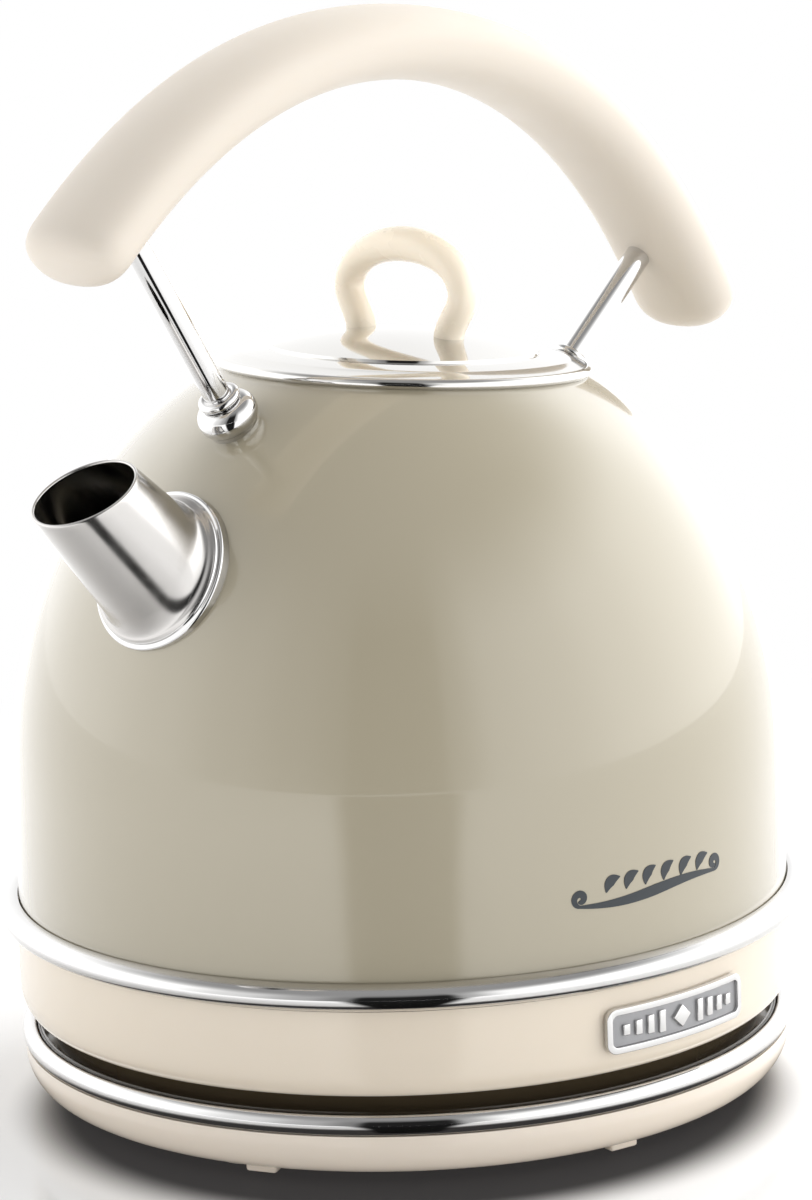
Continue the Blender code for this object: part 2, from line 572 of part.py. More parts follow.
def make_knob(frame):
    """The loop that the lid is lifted by, across the handle's plane."""
    half, leg = 18.4 * MM, 14.2 * MM
    foot, waist, crest = lid_height(leg) + 0.5 * MM, 19.4 * MM, 30.4 * MM
    side = []
    for i in range(5):
        share = i / 5
        swell = 0.5 - 0.5 * math.cos(math.pi * share)
        side.append((leg + (half - leg) * swell, foot + (waist - foot) * share))
    loop = [(half * math.cos(t), waist + (crest - waist) * math.sin(t))
            for t in [math.pi * i / 12 for i in range(13)]]
    path = side + loop + [(-y, z) for y, z in side[::-1]]
    knob = tube("lid_knob", [(0, y, z) for y, z in path], 4.1 * MM, HANDLE_PLASTIC, frame, sides=3)
    cap = [LID_STEP_RADIUS * i / 8 for i in range(9)]
    cut(knob, turned("cut_lid_cap", [(r, lid_height(r) + GAP) for r in cap]
                     + [(LID_STEP_RADIUS, 0), (0, 0)], where=frame))
    for i, y in enumerate((leg, -leg), 1):
        screw(f"knob_screw_{i}", frame @ Matrix.Translation((0, y, 0)), head_top=3.8 * MM,
              tip=lid_height(leg) - 1.6 * MM)


def main():
    clear_scene()
    block = dome_block()
    make_power_base()
    dome = make_dome()
    make_collar()
    make_heater()
    make_switch()
    make_badge()
    make_spout(block)
    make_handle(dome, block)
    make_lid()
    bpy.context.view_layer.update()


main()
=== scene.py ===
"""Looks of a domed electric kettle on its round power base.

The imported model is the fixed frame. Each sub-assembly below is a class that models its pieces,
gives them their finishes and makes them ride on the body that carries them.
"""
import json
import logging
import math
from dataclasses import dataclass, field
from enum import Enum
from typing import Callable, Sequence

import bpy
import numpy as np
from mathutils import Euler, Matrix, Vector


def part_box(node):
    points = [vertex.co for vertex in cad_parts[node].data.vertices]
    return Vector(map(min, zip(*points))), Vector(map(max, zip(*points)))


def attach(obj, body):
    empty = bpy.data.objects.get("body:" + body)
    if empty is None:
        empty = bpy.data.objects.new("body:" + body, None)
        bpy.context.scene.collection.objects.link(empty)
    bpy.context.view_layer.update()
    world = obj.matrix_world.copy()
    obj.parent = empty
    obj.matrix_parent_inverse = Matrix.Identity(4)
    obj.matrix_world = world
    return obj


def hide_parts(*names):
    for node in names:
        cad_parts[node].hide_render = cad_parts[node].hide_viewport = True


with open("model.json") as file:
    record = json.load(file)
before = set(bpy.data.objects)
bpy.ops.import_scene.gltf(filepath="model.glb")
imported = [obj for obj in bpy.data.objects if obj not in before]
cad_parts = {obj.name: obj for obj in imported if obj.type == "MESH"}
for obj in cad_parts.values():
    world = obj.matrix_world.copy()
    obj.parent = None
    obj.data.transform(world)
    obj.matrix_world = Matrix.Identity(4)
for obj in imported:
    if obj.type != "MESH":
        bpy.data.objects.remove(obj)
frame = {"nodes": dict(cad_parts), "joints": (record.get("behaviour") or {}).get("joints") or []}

LOG = logging.getLogger("kettle")
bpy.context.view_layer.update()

MM = 0.001
FINE = 192                 # sides of a large turned piece
MEDIUM = 96                # sides of a middling one
SMALL = 48                 # sides of a small one
TINY = 1e-6                # distance under which points are merged

Point2 = tuple[float, float]
Colour = tuple[float, float, float]


class Body(Enum):
    """The moving bodies that pieces ride on."""

    BASE = "power_base"
    SOCKET = "socket"
    KETTLE = "kettle"
    LID = "lid"
    SWITCH = "switch"


class Slot(Enum):
    """The record's material slots."""

    PAINT = "cream_paint"
    PLASTIC = "cream_plastic"
    BASE_PLASTIC = "base_plastic"
    HANDLE = "handle_plastic"
    KNOB = "knob_plastic"
    CHROME = "chrome"
    STEEL = "steel"
    BADGE = "badge_metal"
    BRASS = "brass"
    BLACK = "black_plastic"
    BROWN = "brown_plastic"
    RUBBER = "rubber"


# Frame -------------------------------------------------------------------------------
def joint(name: str) -> dict:
    """The record's joint of that name."""
    return next(entry for entry in frame["joints"] if entry["name"] == name)


def middle(node: str) -> Vector:
    """Centre of a CAD node's box."""
    low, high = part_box(node)
    return (low + high) / 2


AXIS_X = joint("kettle_turn")["pos_m"][0]
LID_AXIS = Vector(joint("lid_lift")["axis"])
RING_Z = 49.0 * MM                            # joint line of the dome and its trim ring
CROWN_RADIUS = 86.6 * MM
CROWN_CENTRE = Vector((AXIS_X, 0, RING_Z + 48.4 * MM))


def spin_of(turn: float, axis: str = "Z") -> Matrix:
    """A turn about one axis, in radians."""
    return Matrix.Rotation(turn, 4, axis)


def upright(x: float = 0.0, y: float = 0.0, z: float = 0.0) -> Matrix:
    """Frame at a place counted from the dome's axis, not turned."""
    return Matrix.Translation((AXIS_X + x, y, z))


def leaning(x: float, z: float, lean: float) -> Matrix:
    """Frame at (x, 0, z) from the dome's axis, its +Z leaning to +X by lean."""
    return upright(x, 0, z) @ spin_of(lean, "Y")


# Modelling ---------------------------------------------------------------------------
def deselect() -> None:
    """Leave edit mode and deselect every object."""
    if bpy.context.object and bpy.context.object.mode != "OBJECT":
        bpy.ops.object.mode_set(mode="OBJECT")
    bpy.ops.object.select_all(action="DESELECT")


def pick(piece: bpy.types.Object) -> None:
    """Make piece the only selected object, and the active one.

    Args:
        piece: the piece.
    """
    deselect()
    piece.select_set(True)
    bpy.context.view_layer.objects.active = piece


def settle(piece: bpy.types.Object, place: Matrix) -> None:
    """Move a piece to its place and put that place into its mesh.

    Args:
        piece: the piece.
        place: where it goes, counted from where it is.
    """
    pick(piece)
    piece.matrix_world = place @ piece.matrix_world
    bpy.ops.object.transform_apply(location=True, rotation=True, scale=True)


def soften(piece: bpy.types.Object, angle: float = 35.0) -> None:
    """Shade a piece smooth, apart from edges sharper than angle (degrees)."""
    pick(piece)
    bpy.ops.object.shade_smooth_by_angle(angle=math.radians(angle))


def tidy(piece: bpy.types.Object) -> None:
    """Merge doubled points and point every face outwards.

    Args:
        piece: a closed mesh.
    """
    pick(piece)
    bpy.ops.object.mode_set(mode="EDIT")
    bpy.ops.mesh.select_all(action="SELECT")
    bpy.ops.mesh.remove_doubles(threshold=TINY)
    bpy.ops.mesh.normals_make_consistent(inside=False)
    bpy.ops.object.mode_set(mode="OBJECT")


def apply_modifier(piece: bpy.types.Object, kind: str, **settings: object) -> None:
    """Add one modifier, set it up and apply it.

    Args:
        piece: the piece that it changes.
        kind: the modifier's type.
        settings: its settings by name.
    """
    pick(piece)
    modifier = piece.modifiers.new(kind.lower(), kind)
    for name, value in settings.items():
        setattr(modifier, name, value)
    bpy.ops.object.modifier_apply(modifier=modifier.name)


def carve(piece: bpy.types.Object, *tools: bpy.types.Object) -> None:
    """Cut tools out of a piece and remove them.

    Args:
        piece: the piece that is cut.
        tools: closed shapes to cut away, used up here.
    """
    for tool in tools:
        apply_modifier(piece, "BOOLEAN", operation="DIFFERENCE", solver="EXACT", object=tool)
        bpy.data.objects.remove(tool, do_unlink=True)


def turned(name: str, outline: Sequence[Point2], place: Matrix, sides: int = FINE,
           loop: bool = False, angle: float = 35.0) -> bpy.types.Object:
    """Spin an outline of (radius, height) points round +Z.

    Args:
        name: the piece's name.
        outline: points in order; an open outline starts and ends on the axis.
        place: where the piece goes.
        sides: steps of the spin.
        loop: whether the outline closes on itself, as a ring's section does.
        angle: edges sharper than this stay sharp, in degrees.

    Returns:
        The finished piece.
    """
    deselect()
    bpy.ops.mesh.primitive_plane_add(size=MM, location=(0, 0, 0))
    piece = bpy.context.object
    piece.name = name
    bpy.ops.object.mode_set(mode="EDIT")
    bpy.ops.mesh.select_all(action="SELECT")
    bpy.ops.mesh.merge(type="CENTER")
    bpy.ops.transform.translate(value=(outline[0][0], 0, outline[0][1]))
    points = list(outline) + ([outline[0]] if loop else [])
    for (r0, z0), (r1, z1) in zip(points, points[1:]):
        bpy.ops.mesh.extrude_vertices_move(TRANSFORM_OT_translate={"value": (r1 - r0, 0, z1 - z0)})
    bpy.ops.mesh.select_all(action="SELECT")
    bpy.ops.mesh.remove_doubles(threshold=TINY)
    bpy.ops.mesh.select_all(action="SELECT")
    bpy.ops.mesh.spin(steps=sides, angle=2 * math.pi, center=(0, 0, 0), axis=(0, 0, 1))
    bpy.ops.object.mode_set(mode="OBJECT")
    tidy(piece)
    settle(piece, place)
    soften(piece, angle)
    return piece


def arc(centre: Point2, radii: Point2, start: float, end: float, count: int) -> list[Point2]:
    """Points of an ellipse's arc, from angle start to end in degrees."""
    turns = np.radians(np.linspace(start, end, count))
    return [(centre[0] + radii[0] * math.cos(t), centre[1] + radii[1] * math.sin(t)) for t in turns]


def mm(*points: Point2, up: float = 0.0) -> list[Point2]:
    """Outline points given in millimetres, their heights counted from up (in metres)."""
    return [(radius * MM, up + height * MM) for radius, height in points]


def rod(radius: float, high: float, low: float) -> list[Point2]:
    """Outline of a plain round bar between two heights, all in millimetres."""
    return mm((0, high), (radius, high), (radius, low), (0, low))


def rounded(corners: Sequence[Point2], radius: float, loop: bool = False,
            count: int = 5) -> list[Point2]:
    """An outline with its corners rounded off.

    Args:
        corners: the outline's corners, in order.
        radius: how far the rounding reaches along each side, at most.
        loop: whether the outline closes, so that its first and last corner are rounded too.
        count: points on each rounded corner.

    Returns:
        The rounded outline.
    """
    out: list[Point2] = []
    total = len(corners)
    for i, corner in enumerate(corners):
        if not loop and i in (0, total - 1):
            out.append(corner)
            continue
        here = Vector(corner)
        before, after = Vector(corners[i - 1]) - here, Vector(corners[(i + 1) % total]) - here
        reach = min(radius, 0.45 * before.length, 0.45 * after.length)
        start, end = here + before.normalized() * reach, here + after.normalized() * reach
        for t in np.linspace(0, 1, count):
            out.append(tuple((1 - t) ** 2 * start + 2 * t * (1 - t) * here + t ** 2 * end))
    return out


def block(name: str, size: Sequence[float], place: Matrix, bevel: float,
          segments: int = 4) -> bpy.types.Object:
    """A box with rounded edges.

    Args:
        name: the piece's name.
        size: its width, depth and height.
        place: where its middle goes.
        bevel: how far the rounding reaches from each edge.
        segments: steps of the rounding.

    Returns:
        The box.
    """
    deselect()
    bpy.ops.mesh.primitive_cube_add(size=1)
    piece = bpy.context.object
    piece.name = name
    bpy.ops.transform.resize(value=tuple(size))
    bpy.ops.object.transform_apply(scale=True)
    bpy.ops.object.mode_set(mode="EDIT")
    bpy.ops.mesh.select_all(action="SELECT")
    bpy.ops.mesh.bevel(offset=bevel, segments=segments)
    bpy.ops.object.mode_set(mode="OBJECT")
    settle(piece, place)
    soften(piece)
    return piece


def reshape(piece: bpy.types.Object, where: Callable[[Vector], Sequence[float]],
            angle: float = 35.0) -> None:
    """Move every point of a piece by a rule, then put its faces and shading right.

    Args:
        piece: the piece.
        where: the rule, from a point's place to its new place.
        angle: edges sharper than this stay sharp, in degrees.
    """
    for vertex in piece.data.vertices:
        vertex.co = Vector(where(vertex.co.copy()))
    tidy(piece)
    soften(piece, angle)


def copy_to(piece: bpy.types.Object, name: str, place: Matrix) -> bpy.types.Object:
    """Copy a piece, with its own mesh, from the origin to a place.

    Args:
        piece: the pattern.
        name: the copy's name.
        place: where the copy goes.

    Returns:
        The copy.
    """
    twin = piece.copy()
    twin.data = piece.data.copy()
    twin.name = name
    bpy.context.scene.collection.objects.link(twin)
    settle(twin, place)
    return twin


# Finishes ----------------------------------------------------------------------------
def feed(node: bpy.types.Node, inputs: dict[str | int, object]) -> None:
    """Link or set a node's inputs.

    Args:
        node: the node.
        inputs: for each input, by name or number, a socket to link from or a value.
    """
    for key, value in inputs.items():
        if isinstance(value, bpy.types.NodeSocket):
            node.id_data.links.new(value, node.inputs[key])
        else:
            node.inputs[key].default_value = value


def add_node(tree: bpy.types.NodeTree, kind: str, inputs: dict[str | int, object] | None = None,
             **settings: object) -> bpy.types.Node:
    """Add a shader node, set it up and feed its inputs.

    Args:
        tree: the tree that it goes into.
        kind: its type, without the word ShaderNode in front.
        inputs: what feeds its inputs, as in feed.
        settings: its own settings by name.

    Returns:
        The node.
    """
    node = tree.nodes.new("ShaderNode" + kind)
    for name, value in settings.items():
        setattr(node, name, value)
    feed(node, inputs or {})
    return node


def soft_step(tree: bpy.types.NodeTree, value: bpy.types.NodeSocket, low: float, high: float,
              start: float = 0.0, end: float = 1.0) -> bpy.types.NodeSocket:
    """A smooth change from start to end while a value goes from low to high.

    Args:
        tree: the node tree.
        value: the value that drives it.
        low: where the change starts.
        high: where it ends.
        start: the result up to low.
        end: the result from high on.

    Returns:
        The result.
    """
    node = add_node(tree, "MapRange", {"Value": value, "From Min": low, "From Max": high,
                                       "To Min": start, "To Max": end}, interpolation_type="SMOOTHSTEP")
    return node.outputs["Result"]


def math_node(tree: bpy.types.NodeTree, operation: str, *inputs: object) -> bpy.types.NodeSocket:
    """Work out a value from others.

    Args:
        tree: the node tree.
        operation: the node's operation.
        inputs: sockets or numbers, in order.

    Returns:
        The result.
    """
    return add_node(tree, "Math", dict(enumerate(inputs)), operation=operation).outputs[0]


@dataclass(frozen=True)
class Finish:
    """A surface whose colour, gloss and grain all vary a little.

    The drift is a broad change of tone, the grain is the fine relief, and stretch draws the
    grain out along the X, Y and Z of the piece's own frame.
    """

    name: str
    colour: Colour
    drift: Colour
    roughness: Point2
    metallic: float = 0.0
    coat: float = 0.0
    specular: float = 0.5
    drift_size: float = 40 * MM
    smudge_size: float = 12 * MM
    grain_size: float = 0.6 * MM
    grain_depth: float = 0.02 * MM
    grain_strength: float = 0.2
    stretch: tuple[float, float, float] = (1.0, 1.0, 1.0)
    turn: tuple[float, float, float] = (0.0, 0.0, 0.0)
    ripple_size: float = 0.0
    ripple_depth: float = 0.0
    subsurface: float = 0.0
    noise_roughness: float = 0.55
    smudge_span: Point2 = (0.35, 0.70)         # values of the noise, from shiny to dull
    coat_roughness: float = 0.03
    scatter: tuple[float, float, float] = (4 * MM, 3 * MM, 2 * MM)

    def _noise(self, place: bpy.types.NodeSocket, size: float, detail: float) -> bpy.types.NodeSocket:
        """A noise texture.

        Args:
            place: the coordinates that it reads.
            size: how large its features are, about.
            detail: how many finer layers it has.

        Returns:
            Its value.
        """
        return add_node(place.id_data, "TexNoise", {"Vector": place, "Scale": 1 / size, "Detail": detail,
                                                    "Roughness": self.noise_roughness}).outputs["Fac"]

    def build(self) -> bpy.types.Material:
        """Make the material's nodes.

        Returns:
            The material.
        """
        material = bpy.data.materials.new(self.name)
        material.use_nodes = True
        tree = material.node_tree
        place = add_node(tree, "TexCoord").outputs["Object"]
        tone = add_node(tree, "Mix", data_type="RGBA")
        feed(tone, {"Factor": self._noise(place, self.drift_size, 2),
                    "A": (*self.colour, 1), "B": (*self.drift, 1)})
        gloss = add_node(tree, "MapRange", {
            "Value": self._noise(place, self.smudge_size, 4),
            "From Min": self.smudge_span[0], "From Max": self.smudge_span[1],
            "To Min": self.roughness[0], "To Max": self.roughness[1]})
        drawn = add_node(tree, "Mapping", {"Vector": place, "Rotation": self.turn, "Scale": self.stretch},
                         vector_type="TEXTURE")
        relief = add_node(tree, "Bump", {
            "Height": self._noise(drawn.outputs["Vector"], self.grain_size, 3),
            "Strength": self.grain_strength, "Distance": self.grain_depth})
        if self.ripple_size:
            ripple = add_node(tree, "Bump", {"Height": self._noise(place, self.ripple_size, 1),
                                             "Strength": 1.0, "Distance": self.ripple_depth})
            feed(relief, {"Normal": ripple.outputs["Normal"]})
        shader = tree.nodes["Principled BSDF"]
        feed(shader, {
            "Base Color": tone.outputs["Result"], "Roughness": gloss.outputs["Result"],
            "Normal": relief.outputs["Normal"], "Metallic": self.metallic, "Coat Weight": self.coat,
            "Coat Roughness": self.coat_roughness, "Specular IOR Level": self.specular})
        if self.subsurface:
            feed(shader, {"Subsurface Weight": self.subsurface, "Subsurface Scale": 1.0,
                          "Subsurface Radius": self.scatter})
        return material


SPOUT_LEAN = math.radians(44.5 - 90.0)

FINISHES: dict[str, Finish] = {
    "lacquer": Finish("olive_cream_lacquer", (0.376, 0.336, 0.246), (0.390, 0.349, 0.257), (0.20, 0.26),
                      coat=1.0, drift_size=90 * MM, grain_size=0.9 * MM, grain_depth=0.004 * MM,
                      ripple_size=7 * MM, ripple_depth=0.006 * MM),
    "cream": Finish("cream_gloss_plastic", (0.76, 0.67, 0.55), (0.78, 0.69, 0.57), (0.16, 0.24),
                    coat=0.35, grain_size=0.8 * MM, grain_depth=0.004 * MM, subsurface=0.04),
    # painted light: a lighter copy of the cream plastic, brightened so that the base's downward-facing side,
    # which falls in shade, looks as light as the collar
    "base": Finish("cream_gloss_plastic_painted_light", (0.86, 0.765, 0.655), (0.87, 0.78, 0.675), (0.16, 0.24),
                   coat=0.35, grain_size=0.8 * MM, grain_depth=0.004 * MM, subsurface=0.04),
    "cream_fine": Finish("cream_textured_plastic", (0.70, 0.64, 0.51), (0.73, 0.67, 0.55), (0.42, 0.55),
                         grain_size=0.35 * MM, grain_depth=0.03 * MM, grain_strength=0.4),
    "handle": Finish("handle_soft_plastic", (0.645, 0.585, 0.508), (0.665, 0.605, 0.528), (0.42, 0.52),
                     grain_size=0.30 * MM, grain_depth=0.02 * MM, grain_strength=0.35,
                     drift_size=60 * MM, subsurface=0.08, specular=0.4),
    "knob": Finish("knob_plastic", (0.90, 0.80, 0.64), (0.92, 0.82, 0.67), (0.22, 0.32), coat=0.25,
                   grain_size=0.5 * MM, grain_depth=0.005 * MM, subsurface=0.10),
    "chrome": Finish("bright_chrome", (0.64, 0.635, 0.63), (0.69, 0.685, 0.68), (0.035, 0.085),
                     metallic=1.0, grain_size=1.5 * MM, grain_depth=0.002 * MM),
    "mirror": Finish("mirror_polished_steel", (0.66, 0.65, 0.63), (0.70, 0.69, 0.67), (0.04, 0.10),
                     metallic=1.0, grain_size=2.5 * MM, grain_depth=0.003 * MM,
                     ripple_size=18 * MM, ripple_depth=0.01 * MM),
    "spout": Finish("drawn_steel", (0.52, 0.505, 0.49), (0.57, 0.555, 0.54), (0.15, 0.24),
                    metallic=1.0, grain_size=0.35 * MM, grain_depth=0.006 * MM, grain_strength=0.35,
                    stretch=(1.0, 1.0, 30.0), turn=(0.0, SPOUT_LEAN, 0.0)),
    "steel": Finish("satin_steel", (0.62, 0.61, 0.59), (0.68, 0.67, 0.655), (0.24, 0.36),
                    metallic=1.0, grain_size=0.4 * MM, grain_depth=0.006 * MM,
                    stretch=(12.0, 1.0, 1.0)),
    "aluminium": Finish("sheath_aluminium", (0.55, 0.55, 0.55), (0.62, 0.62, 0.62), (0.38, 0.50),
                        metallic=1.0, grain_size=0.5 * MM, grain_depth=0.01 * MM),
    "badge": Finish("badge_grey_field", (0.33, 0.33, 0.34), (0.37, 0.37, 0.38), (0.42, 0.52),
                    metallic=0.6, grain_size=0.25 * MM, grain_depth=0.02 * MM, grain_strength=0.4),
    "brass": Finish("contact_brass", (0.72, 0.52, 0.22), (0.78, 0.60, 0.30), (0.20, 0.34),
                    metallic=1.0, grain_size=0.4 * MM, grain_depth=0.006 * MM),
    "black": Finish("black_satin_plastic", (0.018, 0.018, 0.018), (0.028, 0.027, 0.026), (0.34, 0.46),
                    grain_size=0.30 * MM, grain_depth=0.02 * MM, grain_strength=0.4),
    "brown": Finish("dark_brown_plastic", (0.055, 0.040, 0.022), (0.075, 0.056, 0.033), (0.16, 0.26),
                    coat=0.3, grain_size=0.5 * MM, grain_depth=0.006 * MM),
    "ink": Finish("slate_print", (0.014, 0.020, 0.026), (0.020, 0.027, 0.034), (0.30, 0.40),
                  coat=0.1, grain_size=0.6 * MM, grain_depth=0.004 * MM),
    "rubber": Finish("pale_rubber", (0.50, 0.48, 0.43), (0.56, 0.54, 0.49), (0.70, 0.85),
                     grain_size=0.35 * MM, grain_depth=0.05 * MM, grain_strength=0.5),
    "silicone": Finish("white_silicone", (0.66, 0.66, 0.63), (0.70, 0.70, 0.67), (0.48, 0.60),
                       grain_size=0.5 * MM, grain_depth=0.02 * MM, subsurface=0.15),
}


@dataclass
class Paintshop:
    """Builds each finish once and puts it on pieces."""

    stock: dict[str, bpy.types.Material] = field(default_factory=dict)

    def coat(self, piece: bpy.types.Object, finish: str) -> None:
        """Give a piece one finish.

        Args:
            piece: the piece.
            finish: the name of its finish.
        """
        if finish not in self.stock:
            self.stock[finish] = FINISHES[finish].build()
        piece.data.materials.clear()
        piece.data.materials.append(self.stock[finish])


SHOP = Paintshop()


def fit(piece: bpy.types.Object, body: Body, slot: Slot, finish: str, *stands_for: str) -> bpy.types.Object:
    """Finish a piece and hand it to the frame.

    Args:
        piece: the modelled piece, in place.
        body: the body that it rides on.
        slot: the record's material slot; not used.
        finish: the name of its finish.
        stands_for: the CAD nodes that it replaces.

    Returns:
        The piece.
    """
    SHOP.coat(piece, finish)
    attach(piece, body.value)
    if stands_for:
        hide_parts(*stands_for)
    LOG.info("%s rides on %s, %d faces", piece.name, body.value, len(piece.data.polygons))
    return piece


def dress(node: str, finish: str) -> None:
    """Give a carried-over CAD node its finish.

    Args:
        node: the CAD node's name.
        finish: the name of its finish.
    """
    piece = frame["nodes"][node]
    SHOP.coat(piece, finish)
    LOG.info("%s keeps its CAD shape, finish %s", node, finish)


def on_cylinder(radius: float, turn: float, z: float) -> Callable[[Vector], tuple[float, float, float]]:
    """Rule that wraps a flat piece round the dome's axis.

    Args:
        radius: the cylinder's radius, where the piece's own height is zero.
        turn: direction of the piece's middle, from +X.
        z: height of the piece's middle.

    Returns:
        The rule: X goes round, Y goes up, Z goes outwards.
    """
    def place(co: Vector) -> tuple[float, float, float]:
        """Where a point of the flat piece goes.

        Args:
            co: the point on the flat piece.

        Returns:
            Its place.
        """
        angle = turn + co.x / radius
        reach = radius + co.z
        return AXIS_X + reach * math.cos(angle), reach * math.sin(angle), z + co.y
    return place


# Screws ------------------------------------------------------------------------------
@dataclass
class ScrewBin:
    """Pan-head screws with a cross recess, one modelled for each place."""

    head_radius: float = 3.4 * MM
    head_height: float = 1.5 * MM
    shank_radius: float = 1.8 * MM
    pitch: float = 0.8 * MM

    def _model(self, length: float) -> bpy.types.Object:
        """Turn a threaded screw and cut its cross recess.

        Args:
            length: the shank's length.

        Returns:
            A screw that points along +Z, the underside of its head at the origin.
        """
        head = arc((0, 0), (self.head_radius, -self.head_height), 90, 8, 8)
        thread: list[Point2] = []
        z = 0.4 * MM
        while z < length - 2 * self.pitch:
            thread += [(self.shank_radius - 0.35 * MM, z), (self.shank_radius, z + self.pitch / 2)]
            z += self.pitch
        tip = [(self.shank_radius * 0.5, length), (0, length)]
        outline = head + [(self.head_radius, 0)] + thread + tip
        piece = turned("screw", outline, Matrix.Identity(4), sides=24)
        depth = self.head_height
        for turn in (0, math.pi / 2):
            place = Matrix.Translation((0, 0, -depth)) @ spin_of(turn)
            carve(piece, block("slot", (3.6 * MM, 0.8 * MM, depth), place, 0.1 * MM, 1))
        soften(piece, 30)
        return piece

    def put(self, name: str, body: Body) -> None:
        """Put a screw where a CAD node is, in place of it.

        Args:
            name: the CAD node's name.
            body: the body that the screw rides on.
        """
        low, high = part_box(name)
        lean = Euler((0, math.atan2(LID_AXIS.x, LID_AXIS.z), 0)) if body is Body.LID else Euler()
        centre = (low + high) / 2
        axis = lean.to_matrix() @ Vector((0, 0, 1))
        length = (high.z - low.z) - self.head_height
        head = centre - axis * ((high.z - low.z) / 2 - self.head_height)
        piece = self._model(length)
        piece.name = name + "_fine"
        settle(piece, Matrix.Translation(head) @ lean.to_matrix().to_4x4())
        fit(piece, body, Slot.STEEL, "steel", name)


# Power base --------------------------------------------------------------------------
@dataclass
class PowerBase:
    """The round base: cover, trim ring, bottom plate, feet, gland and male connector."""

    deck: float = 14.0 * MM
    cover_radius: float = 92.6 * MM
    foot_rib: float = 0.35 * MM
    groove_radii: tuple[float, ...] = (80, 47, 43, 24)      # in millimetres
    vents: int = 9
    vent_radius: float = 34.0 * MM
    tab_radius: float = 85.0 * MM
    screws: ScrewBin = field(default_factory=ScrewBin)

    @staticmethod
    def around(angle: float, radius: float, z: float) -> Matrix:
        """Frame at a radius from the base's axis, its +X pointing away from it."""
        return upright(radius * math.cos(angle), radius * math.sin(angle), z) @ spin_of(angle)

    def build(self) -> None:
        """Model every piece of the base."""
        self.cover()
        self.trim()
        self.bottom()
        self.tabs()
        self.feet()
        self.gland()
        self.connector()
        for i in (1, 2, 3):
            self.screws.put(f"base_screw_{i}", Body.BASE)

    def cover(self) -> None:
        """The cream cover: a deck with a drip groove, a shoulder and a full, rounded side."""
        top = rounded(mm((20.3, -2), (20.3, 0), (24, 0), (25.5, -0.9), (30, -0.9), (31.5, 0), (76, 0),
                         (78, -0.5), (88.3, -0.5), (88.3, -1.0), up=self.deck)
                      + [(self.cover_radius, self.deck - 1.0 * MM)], 0.5 * MM, count=4)
        side = arc((84.0 * MM, 11.0 * MM), (8.6 * MM, 8.6 * MM), 0, -80, 22)
        hem = mm((84.9, 2.9), (86.4, 6.0), (89.0, 9.0), (90.0, 11.0), (20.3, 11.6))
        piece = turned("base_cover_fine", top + side + hem, upright(), loop=True)
        gland = middle("cord_gland")
        hole = turned("hole", rod(4.9, 12, -12), Matrix.Translation(gland) @ spin_of(math.pi / 2, "Y"),
                      sides=SMALL)
        carve(piece, hole)
        soften(piece)
        # The cover's finish is the cream plastic painted lighter, to stand in for light on its shaded side.
        fit(piece, Body.BASE, Slot.PLASTIC, "base", "base_cover")

    def trim(self) -> None:
        """The narrow chromed bead on the shoulder."""
        low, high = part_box("base_trim_ring")
        outer = (high.x - low.x) / 2
        section = arc((outer - 2.9 * MM, low.z + 2.0 * MM), (2.9 * MM, 2.86 * MM), 118, -42, 22)
        ends = [(outer - 1.9 * MM, low.z), (outer - 4.5 * MM, low.z), (outer - 4.5 * MM, high.z - 0.9 * MM)]
        piece = turned("base_trim_ring_fine", section + ends, upright(), loop=True)
        fit(piece, Body.BASE, Slot.CHROME, "chrome", "base_trim_ring")

    def bottom(self) -> None:
        """The bottom plate, with a cord channel, ribs and vents."""
        low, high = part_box("base_bottom_plate")
        under = mm((83.2, 0), up=low.z)
        for radius in self.groove_radii:
            under += mm((radius, 0), (radius - 0.6, 0.8), (radius - 2.4, 0.8), (radius - 3.0, 0), up=low.z)
        outline = mm((0, 0), (83.8, 0), (84.2, -0.5), up=high.z) + under + [(0, low.z)]
        piece = turned("base_bottom_plate_fine", outline, upright())
        for angle in np.radians(np.linspace(200, 340, self.vents)):
            place = self.around(angle, self.vent_radius, low.z)
            carve(piece, block("vent", (9 * MM, 1.8 * MM, 1.6 * MM), place, 0.5 * MM, 2))
        soften(piece)
        fit(piece, Body.BASE, Slot.BASE_PLASTIC, "cream_fine", "base_bottom_plate")

    def tabs(self) -> None:
        """Six small cream tabs that show under the cover's edge."""
        for i in range(6):
            place = self.around(math.radians(200 + 58 * i), self.tab_radius, 3.4 * MM)
            piece = block(f"base_tab_{i + 1}", (3.4 * MM, 7.6 * MM, 4.2 * MM), place, 0.7 * MM)
            # The tabs take the same lighter, painted-light copy of the cream plastic.
            fit(piece, Body.BASE, Slot.PLASTIC, "base")

    def feet(self) -> None:
        """Round rubber pads with a ring pressed into each face."""
        low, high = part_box("base_foot_1")
        radius, height = (high.x - low.x) / 2, high.z - low.z
        rib = self.foot_rib
        outline = rounded([(0, height), (radius - 0.4 * MM, height), (radius, 0.3 * MM),
                           (radius - 0.6 * MM, 0), (radius * 0.62, 0), (radius * 0.58, rib),
                           (radius * 0.40, rib), (radius * 0.36, 0), (0, 0)], 0.3 * MM, count=4)
        pattern = turned("foot", outline, Matrix.Identity(4), sides=SMALL)
        names = sorted(name for name in frame["nodes"] if name.startswith("base_foot"))
        for name in names:
            place = middle(name)
            foot = copy_to(pattern, name + "_fine", Matrix.Translation((place.x, place.y, 0)))
            fit(foot, Body.BASE, Slot.RUBBER, "rubber", name)
        bpy.data.objects.remove(pattern, do_unlink=True)

